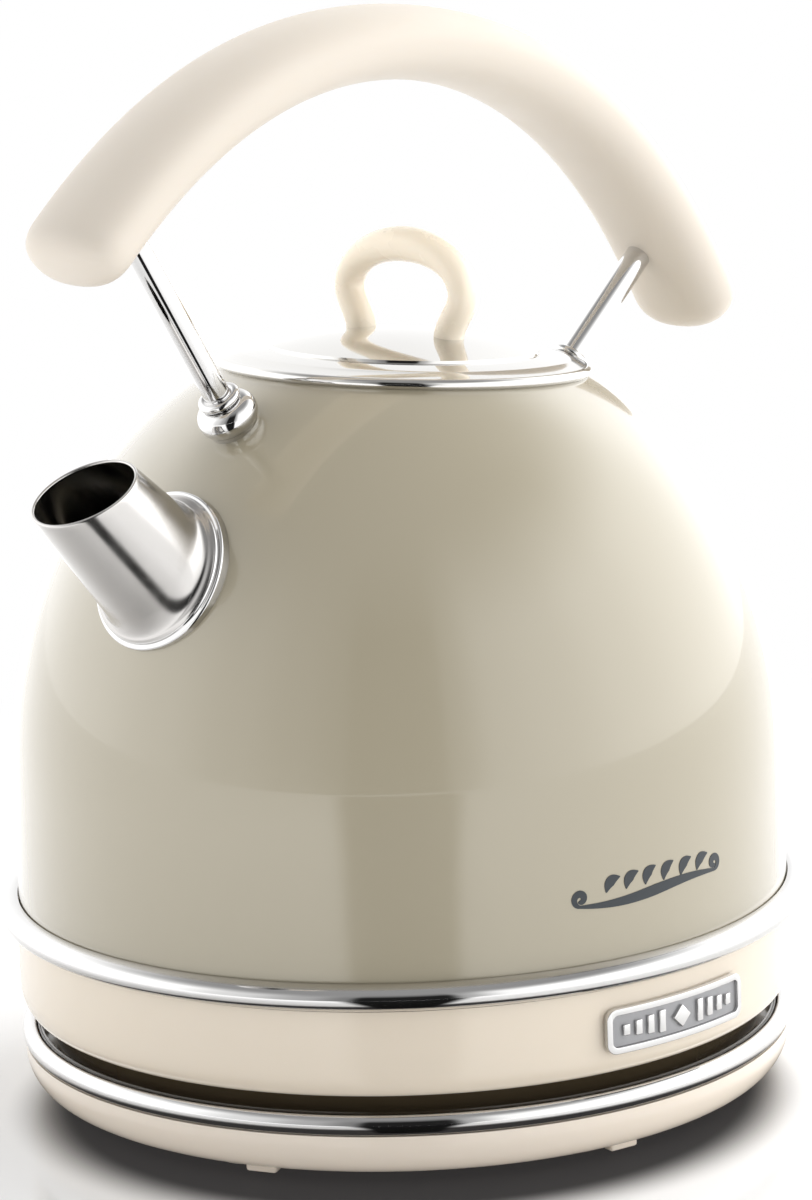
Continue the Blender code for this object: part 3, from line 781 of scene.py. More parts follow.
    def gland(self) -> None:
        """The flanged bush in the rear wall, which is empty."""
        low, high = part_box("cord_gland")
        centre, half = (low + high) / 2, (high.x - low.x) / 2
        along = Matrix.Translation(centre) @ spin_of(math.pi / 2, "Y")
        flange = mm((3.4, 0), (4.5, 0), (4.6, -1.2), (4.1, -1.9), (4.5, -2.6), up=half)
        outline = rounded(flange + mm((4.5, 0), (3.4, 0), up=-half), 0.4 * MM, loop=True)
        piece = turned("cord_gland_fine", outline, along, sides=SMALL, loop=True)
        fit(piece, Body.BASE, Slot.BLACK, "black", "cord_gland")

    def connector(self) -> None:
        """The pillar that the kettle drops on, with its ring contact and centre pin."""
        low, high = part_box("connector_pillar")
        side = mm((10.5, 29.4), (10.1, 29.2), (10.1, 22.4), (10.5, 22.2), (10.5, 16.4), (13, 16.4),
                  (13.4, 17.4), (16.2, 17.4), (16.6, 16.4), (19.3, 16.0), (19.9, 15.2))
        pillar = rounded(mm((3.2, 0), (9.6, 0), (10.5, -1.4), up=high.z) + side
                         + mm((19.9, 0), (3.2, 0), up=low.z), 0.5 * MM, loop=True, count=4)
        fit(turned("connector_pillar_fine", pillar, upright(), sides=MEDIUM, loop=True),
            Body.BASE, Slot.BLACK, "black", "connector_pillar")
        low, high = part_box("connector_contact_ring")
        ring = rounded(mm((10.7, 0), (11.2, 0), (11.5, -0.7), up=high.z)
                       + mm((11.5, 0.7), (11.2, 0), (10.7, 0), up=low.z), 0.3 * MM, loop=True)
        fit(turned("connector_contact_ring_fine", ring, upright(), sides=MEDIUM, loop=True),
            Body.BASE, Slot.BRASS, "brass", "connector_contact_ring")
        low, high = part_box("connector_pin")
        pin = arc((0, high.z - 2.2 * MM), (2.6 * MM, 2.2 * MM), 90, 0, 8) + [(2.6 * MM, low.z), (0, low.z)]
        fit(turned("connector_pin_fine", pin, upright(), sides=SMALL),
            Body.BASE, Slot.BRASS, "brass", "connector_pin")


# Kettle ------------------------------------------------------------------------------
@dataclass
class KettleShell:
    """Dome, trim ring, mouth neck, collar and underside of the kettle."""

    radius: float = 92.7 * MM
    wall: float = 1.2 * MM
    bottom: float = 44.0 * MM
    crown_edge: float = 35.0
    mouth_radius: float = 42.2 * MM
    collar_radius: float = 93.3 * MM
    collar_wall: float = 2.3 * MM
    screws: ScrewBin = field(default_factory=ScrewBin)

    def build(self) -> None:
        """Model every piece of the shell."""
        self.dome()
        self.trim()
        self.neck()
        self.collar()
        self.underside()
        self.socket()
        for i in (1, 2, 3):
            self.screws.put(f"cover_screw_{i}", Body.KETTLE)

    def outline(self, inset: float, count: int) -> list[Point2]:
        """The dome's section: a spherical crown, a flatter side arc and a short cylinder.

        Args:
            inset: how far the section lies inside the outer skin.
            count: points on each arc.

        Returns:
            The section from the crown down.
        """
        edge = math.radians(self.crown_edge)
        side = (self.radius - CROWN_RADIUS * math.cos(edge)) / (1 - math.cos(edge))
        reach = CROWN_RADIUS - side
        centre = (reach * math.cos(edge), CROWN_CENTRE.z + reach * math.sin(edge))
        crown = arc((0, CROWN_CENTRE.z), (CROWN_RADIUS - inset,) * 2, 90, self.crown_edge, count)
        crown[0] = (0, crown[0][1])
        flank = arc(centre, (side - inset,) * 2, self.crown_edge, 0, count)
        wall = [(self.radius - inset, z) for z in np.linspace(flank[-1][1], self.bottom, 9)]
        return crown + flank[1:] + wall[1:]

    def dome(self) -> None:
        """The painted shell, with its filling mouth and spout hole."""
        outline = self.outline(0, 28) + self.outline(self.wall, 28)[::-1]
        piece = turned("dome_body_fine", outline, upright())
        rise = math.sqrt(CROWN_RADIUS ** 2 - Lid.radius ** 2)
        mouth = turned("mouth", rod(self.mouth_radius / MM, 30, -20), Lid.place(rise))
        hole = turned("hole", rod(12.6, 0, -62), Spout.mouth_place(), sides=MEDIUM)
        carve(piece, mouth, hole)
        soften(piece, 30)
        fit(piece, Body.KETTLE, Slot.PAINT, "lacquer", "dome_body")

    def trim(self) -> None:
        """The broad half-round chromed band between the dome and the collar."""
        low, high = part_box("trim_ring")
        outer, mid, half = (high.x - low.x) / 2, (high.z + low.z) / 2, (high.z - low.z) / 2
        inner = self.radius + 0.3 * MM
        section = arc((inner, mid), (outer - inner, half + 0.1 * MM), 82, -82, 32)
        ends = [(inner, mid - half), (inner, mid + half)]
        piece = turned("trim_ring_fine", section + ends, upright(), loop=True)
        fit(piece, Body.KETTLE, Slot.CHROME, "chrome", "trim_ring")

    def neck(self) -> None:
        """The rolled steel neck inside the filling mouth."""
        rise = math.sqrt(CROWN_RADIUS ** 2 - Lid.radius ** 2)
        section = rounded(mm((40.6, 1.5), (41.9, 1.2), (41.9, -8), (40.6, -8)), 0.5 * MM, loop=True)
        piece = turned("mouth_neck_fine", section, Lid.place(rise), loop=True)
        fit(piece, Body.KETTLE, Slot.STEEL, "steel", "mouth_neck")

    def collar(self) -> None:
        """The cream collar under the trim ring, with the switch's slot."""
        low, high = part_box("collar")
        inner = self.collar_radius - self.collar_wall
        outside = [(self.collar_radius, high.z)] + arc(
            (self.collar_radius - 3.2 * MM, low.z + 6.4 * MM), (3.2 * MM, 6.4 * MM), 0, -68, 16)
        foot = rounded([outside[-1]] + mm((90.6, 0), (89.9, 0.3), (90.3, 3), up=low.z)
                       + [(inner, low.z + 8 * MM)], 0.3 * MM)
        piece = turned("collar_fine", outside + foot[1:] + [(inner, high.z)], upright(), loop=True)
        slot = block("slot", (14 * MM, 23 * MM, 13 * MM),
                     upright(self.collar_radius, 0, 33 * MM), 1.6 * MM)
        carve(piece, slot)
        soften(piece, 30)
        fit(piece, Body.KETTLE, Slot.PLASTIC, "cream", "collar")

    def underside(self) -> None:
        """The dark cover that closes the kettle from below and stands in the base."""
        section = rounded(mm((17.6, 26.0), (88.6, 26.0), (89.3, 25.2), (89.3, 23.4), (86.8, 22.0),
                             (85.7, 14.8), (85.2, 14.3), (82.6, 14.3), (82.1, 14.8), (81.0, 23.6),
                             (34, 23.6), (32, 25.0), (21, 25.0), (19, 23.6), (17.6, 23.6)),
                          0.7 * MM, loop=True, count=4)
        piece = turned("underside_cover_fine", section, upright(), loop=True)
        fit(piece, Body.KETTLE, Slot.BROWN, "brown", "underside_cover")

    def socket(self) -> None:
        """The round female half of the connector."""
        section = rounded(mm((0, 40.4), (16.2, 40.4), (17, 39.6), (17, 25), (16.2, 24.0), (13.6, 24.0),
                             (12.3, 25.8), (12.3, 37.6), (0, 37.6)), 0.6 * MM, count=4)
        piece = turned("connector_socket_fine", section, upright(), sides=MEDIUM)
        fit(piece, Body.SOCKET, Slot.BLACK, "black", "connector_socket")


@dataclass
class Workings:
    """What is inside: the heater with its seal and clamp, the steam tube and the control."""

    finishes: dict[str, str] = field(default_factory=lambda: {
        "plate_seal": "silicone", "clamp_ring": "steel", "heating_element": "aluminium",
        "thermostat_control": "black", "bimetal_disc": "brass", "switch_bracket": "steel",
        "switch_pin": "steel", "post_nut_front": "steel", "post_nut_rear": "steel",
        "lid_seal": "silicone"})

    def build(self) -> None:
        """Dress the hidden CAD nodes and model what shows through the open mouth."""
        for node, finish in self.finishes.items():
            dress(node, finish)
        self.plate()
        self.steam_tube()

    def plate(self) -> None:
        """The heater plate, with pressed rings."""
        low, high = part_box("heater_plate")
        top, under = high.z, low.z
        outline: list[Point2] = [(0, top)]
        for radius in (14, 42, 60, 76):
            outline += [(radius * MM, top)] + arc(((radius + 3) * MM, top), (2.4 * MM, -0.5 * MM), 180, 0, 9)
        outline += [(85.3 * MM, top), (86.0 * MM, top - 0.5 * MM), (86.0 * MM, under), (0, under)]
        piece = turned("heater_plate_fine", outline, upright())
        tube = middle("steam_tube")
        carve(piece, turned("hole", rod(4.5, 60, 40), Matrix.Translation((tube.x, tube.y, 0)), sides=SMALL))
        fit(piece, Body.KETTLE, Slot.STEEL, "steel", "heater_plate")

    def steam_tube(self) -> None:
        """The upright tube that takes steam down to the control."""
        low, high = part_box("steam_tube")
        half = (high.x - low.x) / 2
        section = rounded([(3.0 * MM, high.z), (half, high.z), (half, low.z), (3.0 * MM, low.z)],
                          0.4 * MM, loop=True)
        place = Matrix.Translation(((low.x + high.x) / 2, 0, 0))
        piece = turned("steam_tube_fine", section, place, sides=SMALL, loop=True)
        fit(piece, Body.KETTLE, Slot.STEEL, "steel", "steam_tube")


@dataclass
class Switch:
    """The on/off lever at the rear."""

    rest: float = math.radians(7.0)
    grooves: int = 4

    def build(self) -> None:
        """A ribbed paddle on a barrel round the pin."""
        hinge = joint("switch_throw")
        pivot = Matrix.Translation(hinge["pos_m"]) @ spin_of(-self.rest, "Y")
        lever = block("switch_lever_fine", (20 * MM, 17 * MM, 3.6 * MM),
                      Matrix.Translation((8.5 * MM, 0, 0)), 1.2 * MM)
        across = spin_of(math.pi / 2, "X")
        barrel = turned("barrel", rod(3.4, 8.5, -8.5), across, sides=SMALL)
        apply_modifier(lever, "BOOLEAN", operation="UNION", solver="EXACT", object=barrel)
        bpy.data.objects.remove(barrel, do_unlink=True)
        carve(lever, turned("bore", rod(1.9, 12, -12), across, sides=SMALL))
        for i in range(self.grooves):
            place = Matrix.Translation(((12.6 + 1.5 * i) * MM, 0, 1.9 * MM))
            carve(lever, block("groove", (0.7 * MM, 13 * MM, 1.0 * MM), place, 0.2 * MM, 2))
        settle(lever, pivot)
        soften(lever, 30)
        fit(lever, Body.SWITCH, Slot.PLASTIC, "cream", "switch_lever")


@dataclass
class Badge:
    """A framed plate on the collar with plain raised marks."""

    turn: float = math.radians(-95.0)
    z: float = 32.8 * MM
    width: float = 43.0 * MM
    height: float = 10.6 * MM
    rim: float = 1.5 * MM
    skin: float = 93.3 * MM + 0.5 * MM
    bars: int = 4              # on each side of the lozenge

    def build(self) -> None:
        """Frame, field and marks."""
        frame_piece = self._plate("badge_frame_fine", self.width, self.height, 0, 1.5 * MM, 2.6 * MM)
        window = self._plate("window", self.width - 2 * self.rim, self.height - 2 * self.rim,
                             -3 * MM, 5 * MM, 1.4 * MM)
        carve(frame_piece, window)
        apply_modifier(frame_piece, "BEVEL", width=0.35 * MM, segments=3, limit_method="ANGLE",
                       angle_limit=math.radians(50))
        reshape(frame_piece, on_cylinder(self.skin, self.turn, self.z))
        fit(frame_piece, Body.KETTLE, Slot.CHROME, "chrome", "badge_frame")
        inset = 2.1 * self.rim
        field_piece = self._plate("badge_plate_fine", self.width - inset, self.height - inset,
                                  0, 0.7 * MM, 1.3 * MM)
        reshape(field_piece, on_cylinder(self.skin, self.turn, self.z))
        fit(field_piece, Body.KETTLE, Slot.BADGE, "badge", "badge_plate")
        self.marks()

    def _plate(self, name: str, width: float, height: float, low: float, high: float,
               corner: float) -> bpy.types.Object:
        """A flat plate with round corners, cut across so that it can bend.

        Args:
            name: the plate's name.
            width: its size along X.
            height: its size along Y.
            low: the height of its underside.
            high: the height of its top.
            corner: the radius of its corners.

        Returns:
            The plate, its middle over the origin.
        """
        deselect()
        bpy.ops.mesh.primitive_cube_add(size=1)
        piece = bpy.context.object
        piece.name = name
        bpy.ops.transform.resize(value=(width, height, high - low))
        bpy.ops.transform.translate(value=(0, 0, (high + low) / 2))
        bpy.ops.object.transform_apply(location=True, scale=True)
        bpy.ops.object.mode_set(mode="EDIT")
        bpy.ops.mesh.select_mode(type="EDGE")
        bpy.ops.mesh.select_all(action="DESELECT")
        bpy.ops.object.mode_set(mode="OBJECT")
        for edge in piece.data.edges:
            a, b = (piece.data.vertices[i].co for i in edge.vertices)
            edge.select = abs(a.z - b.z) > TINY
        bpy.ops.object.mode_set(mode="EDIT")
        bpy.ops.mesh.bevel(offset=corner, segments=8)
        count = 24
        for i in range(1, count):
            bpy.ops.mesh.select_all(action="SELECT")
            bpy.ops.mesh.bisect(plane_co=(width * (i / count - 0.5), 0, 0), plane_no=(1, 0, 0))
        bpy.ops.mesh.select_mode(type="VERT")
        bpy.ops.object.mode_set(mode="OBJECT")
        return piece

    def marks(self) -> None:
        """A lozenge between stepped bars, raised from the field."""
        pieces = []
        for i in range(self.bars):
            size = (1.9 * MM, (5.4 - 0.9 * i) * MM, 0.9 * MM)
            for sign in (-1, 1):
                place = Matrix.Translation((sign * (6.0 + 3.4 * i) * MM, 0, 1.0 * MM))
                pieces.append(block("bar", size, place, 0.3 * MM, 3))
        pieces.append(block("lozenge", (4.0 * MM, 4.0 * MM, 1.0 * MM),
                            Matrix.Translation((0, 0, 1.0 * MM)) @ spin_of(math.pi / 4), 0.35 * MM, 3))
        deselect()
        for piece in pieces:
            piece.select_set(True)
        bpy.context.view_layer.objects.active = pieces[-1]
        bpy.ops.object.join()
        marks = bpy.context.object
        marks.name = "badge_marks"
        reshape(marks, on_cylinder(self.skin, self.turn, self.z))
        fit(marks, Body.KETTLE, Slot.CHROME, "chrome")


@dataclass
class Flourish:
    """A printed swash on the dome, with no letters in it."""

    turn: float = math.radians(-98.5)
    z: float = 65.5 * MM
    width: float = 47.0 * MM
    proud: float = 0.12 * MM
    leaves: tuple[Point2, ...] = ((-13.5, 40), (-8.0, 46), (-2.5, 52), (3.0, 52), (8.5, 46), (14.0, 40))

    def build(self) -> None:
        """A long wave that thins at its ends, with a scroll at each and six leaves over it."""
        strokes = [self._wave(), self._scroll(-1), self._scroll(1)]
        strokes += [self._leaf(x, lean) for x, lean in self.leaves]
        deselect()
        for stroke in strokes:
            stroke.select_set(True)
        bpy.context.view_layer.objects.active = strokes[0]
        bpy.ops.object.join()
        piece = bpy.context.object
        piece.name = "dome_flourish"
        reshape(piece, on_cylinder(92.7 * MM, self.turn, self.z))
        fit(piece, Body.KETTLE, Slot.BLACK, "ink")

    def _stroke(self, path: Sequence[tuple[float, float, float]]) -> bpy.types.Object:
        """A flat pen stroke.

        Args:
            path: its (x, y, width) points in order, in millimetres.

        Returns:
            The stroke, with its thickness.
        """
        deselect()
        bpy.ops.mesh.primitive_grid_add(x_subdivisions=len(path) - 1, y_subdivisions=1, size=1)
        piece = bpy.context.object
        last = len(path) - 1
        for vertex in piece.data.vertices:
            i = round((vertex.co.x + 0.5) * last)
            before, after = path[max(i - 1, 0)], path[min(i + 1, last)]
            along = Vector((after[0] - before[0], after[1] - before[1])).normalized()
            x, y, width = path[i]
            side = (1 if vertex.co.y > 0 else -1) * width / 2
            vertex.co = Vector(((x - along.y * side) * MM, (y + along.x * side) * MM, self.proud / 2))
        apply_modifier(piece, "SOLIDIFY", thickness=self.proud, offset=0)
        return piece

    def _wave(self) -> bpy.types.Object:
        """The long stroke.

        Returns:
            The stroke.
        """
        span = self.width / MM / 2 - 3
        path = []
        for t in np.linspace(-1, 1, 61):
            path.append((span * t, self._rise(t), 0.7 + 1.9 * (1 - abs(t) ** 1.5)))
        return self._stroke(path)

    @staticmethod
    def _rise(t: float) -> float:
        """Height of the long stroke at a share of its half length, in millimetres."""
        return -2.2 + 0.9 * math.sin(2.6 * t)

    def _scroll(self, side: int) -> bpy.types.Object:
        """A curl that ends the long stroke.

        Args:
            side: -1 at the left end, 1 at the right.

        Returns:
            The stroke.
        """
        span = self.width / MM / 2 - 3
        y = self._rise(side)
        path = []
        for t in np.linspace(0, 1, 41):
            angle = math.radians(-90 + 400 * t)
            radius = 1.8 * (1 - 0.72 * t)
            path.append((side * (span + radius * math.cos(angle) - 0.2), y + 1.8 + radius * math.sin(angle),
                         0.6 + 1.1 * math.sin(math.pi * t) ** 0.6))
        return self._stroke(path)

    def _leaf(self, x: float, lean: float) -> bpy.types.Object:
        """A pointed leaf over the long stroke.

        Args:
            x: where its stem starts, in millimetres.
            lean: its direction, in degrees from the baseline.

        Returns:
            The stroke.
        """
        turn = math.radians(lean)
        path = []
        for t in np.linspace(0, 1, 25):
            reach = 5.0 * t
            bend = 1.1 * math.sin(math.pi * t)
            path.append((x + reach * math.cos(turn) - bend * math.sin(turn),
                         -0.4 + reach * math.sin(turn) + bend * math.cos(turn),
                         0.2 + 2.4 * math.sin(math.pi * t)))
        return self._stroke(path)


@dataclass
class Spout:
    """A slightly tapered steel tube that flares into a thin round flange on the dome."""

    mouth_radius: float = 12.4 * MM
    root_radius: float = 15.8 * MM
    length: float = 38.0 * MM
    slant: float = math.radians(64.0 - 44.5)
    wall: float = 0.9 * MM
    fillet: float = 5.0 * MM
    flange_radius: float = 19.0 * MM
    flange_lean: float = math.radians(27.6 - 90.0)
    flare_lift: float = 1.7 * MM
    flare_edge: float = 17.5 * MM
    inside_lift: float = -1.9 * MM
    ring_bore: float = 15.5 * MM
    ring_depth: float = 4.5 * MM
    sides: int = 144

    @staticmethod
    def mouth_place() -> Matrix:
        """Frame at the centre of the mouth, +Z out of it."""
        return leaning(-99.29 * MM, RING_Z + 109.8 * MM, SPOUT_LEAN)

    def flange_place(self) -> Matrix:
        """Frame at the centre of the flange, +Z away from the dome."""
        return leaning(-77.45 * MM, RING_Z + 88.9 * MM, self.flange_lean)

    def radius_at(self, depth: float) -> float:
        """The tube's outer radius at a depth below its mouth."""
        return self.mouth_radius + (self.root_radius - self.mouth_radius) * depth / self.length

    def build(self) -> None:
        """The tube with its flare, then the stepped ring under the flare."""
        self.tube()
        self.ring()

    def lip_depth(self, angle: float) -> float:
        """How far below the mouth's centre the slanted lip is.

        Args:
            angle: direction round the spout's axis.

        Returns:
            The depth along the axis.
        """
        share = math.cos(angle) * math.tan(self.slant)
        taper = (self.root_radius - self.mouth_radius) / self.length
        return self.mouth_radius * share / (1 - taper * share)

    def _root(self, angle: float, lift: float) -> tuple[Vector, Vector, float]:
        """Where the tube's wall meets the flange's plane.

        Args:
            angle: direction round the spout's axis.
            lift: height of the meeting plane over the flange's own.

        Returns:
            The meeting point, the outward direction in the flange's plane and the depth.
        """
        mouth, flange = self.mouth_place(), self.flange_place()
        normal = flange.to_3x3() @ Vector((0, 0, 1))
        plane = flange.translation + normal * lift
        ray = Vector((math.cos(angle), math.sin(angle), 0))
        slope = Vector((0, 0, -1)) + ray * (self.root_radius - self.mouth_radius) / self.length
        start = mouth @ (ray * self.mouth_radius)
        along = mouth.to_3x3() @ slope
        depth = (plane - start).dot(normal) / along.dot(normal)
        outward = mouth.to_3x3() @ ray
        outward -= normal * outward.dot(normal)
        return start + along * depth, outward.normalized(), depth

    def tube(self) -> None:
        """Loft the tube: bore, lip, outer wall, fillet and flare."""
        mouth = self.mouth_place()
        normal = self.flange_place().to_3x3() @ Vector((0, 0, 1))

        def rings(angle: float) -> list[Vector]:
            """The wall's points in one direction.

            Args:
                angle: direction round the spout's axis.

            Returns:
                The points, from deep in the bore out to the flare's underside.
            """
            ray = Vector((math.cos(angle), math.sin(angle), 0))
            depth = self.lip_depth(angle)
            inside = self._root(angle, self.inside_lift)[2]
            section = [(self.radius_at(d) - self.wall, -d) for d in np.linspace(inside, depth + 0.5 * MM, 16)]
            section += arc((self.radius_at(depth) - self.wall / 2, -depth), (self.wall / 2, 0.45 * MM),
                           180, 0, 9)
            points = [mouth @ (ray * r + Vector((0, 0, z))) for r, z in section]
            top = points[-1]
            meet, outward, _ = self._root(angle, self.flare_lift)
            bearing = self._bearing(meet)
            down = (meet - top).normalized()
            reach = min(self.fillet, 0.4 * (meet - top).length)
            start = meet - down * reach
            points += [top.lerp(start, t) for t in np.linspace(0, 1, 20)[1:]]
            edge = self._on_flange(bearing, self.flare_edge, self.flare_lift - 0.7 * MM)
            spread = meet + outward * 0.75 * (edge - meet).length - normal * 0.3 * MM
            for t in np.linspace(0, 1, 12)[1:]:
                points.append((1 - t) ** 2 * start + 2 * t * (1 - t) * meet + t ** 2 * spread)
            points += [spread.lerp(edge, t) for t in (0.5, 0.9, 1.0)]
            points += [edge + outward * 0.2 * MM - normal * 0.25 * MM, edge - normal * 0.6 * MM]
            points.append(self._on_flange(bearing, self.flare_edge - 1.2 * MM, 0.3 * MM))
            return points

        self._loft("spout_fine", rings)
        fit(bpy.data.objects["spout_fine"], Body.KETTLE, Slot.STEEL, "spout", "spout")

    def _on_flange(self, bearing: float, radius: float, lift: float) -> Vector:
        """A point round the flange's own axis."""
        flat = Vector((radius * math.cos(bearing), radius * math.sin(bearing), lift))
        return self.flange_place() @ flat

    def _bearing(self, point: Vector) -> float:
        """Direction of a point round the flange's own axis."""
        local = self.flange_place().inverted() @ point
        return math.atan2(local.y, local.x)

    def _loft(self, name: str, rings: Callable[[float], list[Vector]]) -> None:
        """Extrude a ring of edges row by row, then put each row where the rule says.

        Args:
            name: the piece's name.
            rings: the rule, from a direction to the wall's points there, in order.
        """
        deselect()
        bpy.ops.mesh.primitive_circle_add(vertices=self.sides, radius=1, fill_type="NOTHING")
        piece = bpy.context.object
        piece.name = name
        table = [rings(2 * math.pi * k / self.sides) for k in range(self.sides)]
        rows = len(table[0])
        bpy.ops.object.mode_set(mode="EDIT")
        bpy.ops.mesh.select_all(action="SELECT")
        for _ in range(rows - 1):
            bpy.ops.mesh.extrude_edges_move(TRANSFORM_OT_translate={"value": (0, 0, 1)})
        bpy.ops.object.mode_set(mode="OBJECT")
        for vertex in piece.data.vertices:
            side = round(math.atan2(vertex.co.y, vertex.co.x) / (2 * math.pi) * self.sides) % self.sides
            vertex.co = table[side][round(vertex.co.z)]
        tidy(piece)
        soften(piece, 40)

    def ring(self) -> None:
        """The thin stepped ring that seats on the dome round the flare."""
        radius, bore, sunk = self.flange_radius, self.ring_bore, -self.ring_depth
        steps = [(radius - inset * MM, height * MM)
                 for inset, height in ((1.3, 0.5), (1.15, -0.1), (0.3, -0.2), (0, -0.6))]
        section = rounded([(bore, 0.5 * MM)] + steps + [(radius, sunk), (bore, sunk)], 0.22 * MM, loop=True)
        piece = turned("spout_flange_fine", section, self.flange_place(), sides=self.sides, loop=True)
        shell = KettleShell()
        carve(piece, turned("dome_block", shell.outline(0, 28) + [(0, shell.bottom)], upright()))
        soften(piece, 40)
        fit(piece, Body.KETTLE, Slot.STEEL, "chrome", "spout_flange")


@dataclass
class Handle:
    """The arched handle on its two posts."""

    lean: float = math.radians(9.0)
    pivot: Point2 = (0.6 * MM, RING_Z + 122.0 * MM)
    top: float = 78.8 * MM
    half_thick: float = 8.8 * MM
    half_wide: float = 14.2 * MM
    front: float = 104.5 * MM
    rear: float = 108.5 * MM
    cap: float = 6.4 * MM
    post_radius: float = 3.2 * MM
    post_slope: float = math.radians(48.7)
    post_at: Point2 = (82.9 * MM, 24.9 * MM)
    unit: float = 94 * MM
    bend_shares: Point2 = (0.3546, 0.0816)     # of the square and the fourth power
    oval: float = 2.25                         # section's power, 2 for an ellipse

    def place(self) -> Matrix:
        """The handle's own frame."""
        return leaning(self.pivot[0], self.pivot[1], self.lean)

    def arch(self, x: float) -> float:
        """Height of the centre line at x."""
        share = x / self.unit
        square, fourth = self.bend_shares
        return self.top - self.unit * (square * share ** 2 + fourth * share ** 4)

    def build(self) -> None:
        """Grip, then each post with its boss and ring."""
        self.grip()
        for name, side in (("front", -1), ("rear", 1)):
            self.post(name, side)

    def grip(self) -> None:
        """A long rounded bar bent over the arch, its section a soft oval."""
        xs = np.linspace(-self.front, self.rear, 400)
        line = np.array([(x, self.arch(x)) for x in xs])
        steps = np.hypot(*np.diff(line, axis=0).T)
        along = np.concatenate([[0], np.cumsum(steps)])
        total = along[-1]
        cap = self.cap

        def girth(s: float) -> float:
            """How full the section is, rounded off at both ends.

            Args:
                s: distance along the bar.

            Returns:
                Its share of the full section.
            """
            near = min(s + cap * 0.9, total + cap * 0.9 - s)
            if near >= cap * 1.6:
                return 1.0
            share = 1 - near / (cap * 1.6)
            return max(0.0, 1 - share ** 3.0) ** (1 / 2.4)

        stations = np.concatenate([np.linspace(-cap * 0.9, cap * 0.7, 22)[:-1],
                                   np.linspace(cap * 0.7, total - cap * 0.7, 110),
                                   np.linspace(total - cap * 0.7, total + cap * 0.9, 22)[1:]])
        outline = [(girth(s), -s) for s in stations]
        outline[0], outline[-1] = (0, outline[0][1]), (0, outline[-1][1])
        piece = turned("handle_fine", outline, Matrix.Identity(4), sides=MEDIUM)
        place = self.place()

        def bend(co: Vector) -> Vector:
            """Where a point of the straight bar goes on the arch.

            Args:
                co: the point on the straight bar.

            Returns:
                Its place.
            """
            s = -co.z
            held = min(max(s, 0.0), total)
            x = float(np.interp(held, along, xs))
            slope = (self.arch(x + TINY) - self.arch(x - TINY)) / (2 * TINY)
            tangent = Vector((1, 0, slope)).normalized()
            normal = Vector((-tangent.z, 0, tangent.x))
            angle = math.atan2(co.y, co.x)
            size = math.hypot(co.x, co.y)
            power = 2 / self.oval
            up = math.copysign(abs(math.cos(angle)) ** power, math.cos(angle)) * size * self.half_thick
            side = math.copysign(abs(math.sin(angle)) ** power, math.sin(angle)) * size * self.half_wide
            centre = Vector((x, 0, self.arch(x))) + tangent * (s - held)
            return place @ (centre + normal * up + Vector((0, side, 0)))

        reshape(piece, bend, 60)
        fit(piece, Body.KETTLE, Slot.HANDLE, "handle", "handle")

    def post(self, name: str, side: int) -> None:
        """One chromed post, the fat boss at its foot and the ring over the boss.

        Args:
            name: front or rear, as in the CAD nodes' names.
            side: -1 at the front, 1 at the rear.
        """
        lean = spin_of(side * (math.pi / 2 - self.post_slope), "Y")
        frame_at = self.place() @ Matrix.Translation((side * self.post_at[0], 0, self.post_at[1])) @ lean
        axis = frame_at.to_3x3() @ Vector((0, 0, 1))
        origin = frame_at.translation - CROWN_CENTRE
        down = origin.dot(axis) - math.sqrt(origin.dot(axis) ** 2 - origin.length_squared + CROWN_RADIUS ** 2)
        seat = frame_at @ Matrix.Translation((0, 0, -down))
        radius = self.post_radius
        post = rounded(rod(radius / MM, (down + 16 * MM) / MM, -6), 0.5 * MM)
        boss = [(radius, 6.6 * MM), (4.3 * MM, 6.9 * MM)]
        boss += arc((3.9 * MM, 3.4 * MM), (3.4 * MM, 3.6 * MM), 76, -50, 22)
        boss += [(5.6 * MM, -1.8 * MM), (radius, -1.4 * MM)]
        ring = arc((3.9 * MM, 8.2 * MM), (1.2 * MM, 1.15 * MM), 120, -90, 14)
        ring += [(radius, 7.0 * MM), (radius, 9.4 * MM)]
        for kind, outline, loop in (("post", post, False), ("post_boss", boss, True),
                                    ("post_collar", ring, True)):
            piece = turned(f"{kind}_{name}_fine", outline, seat, sides=MEDIUM, loop=loop)
            fit(piece, Body.KETTLE, Slot.CHROME, "chrome", f"{kind}_{name}")


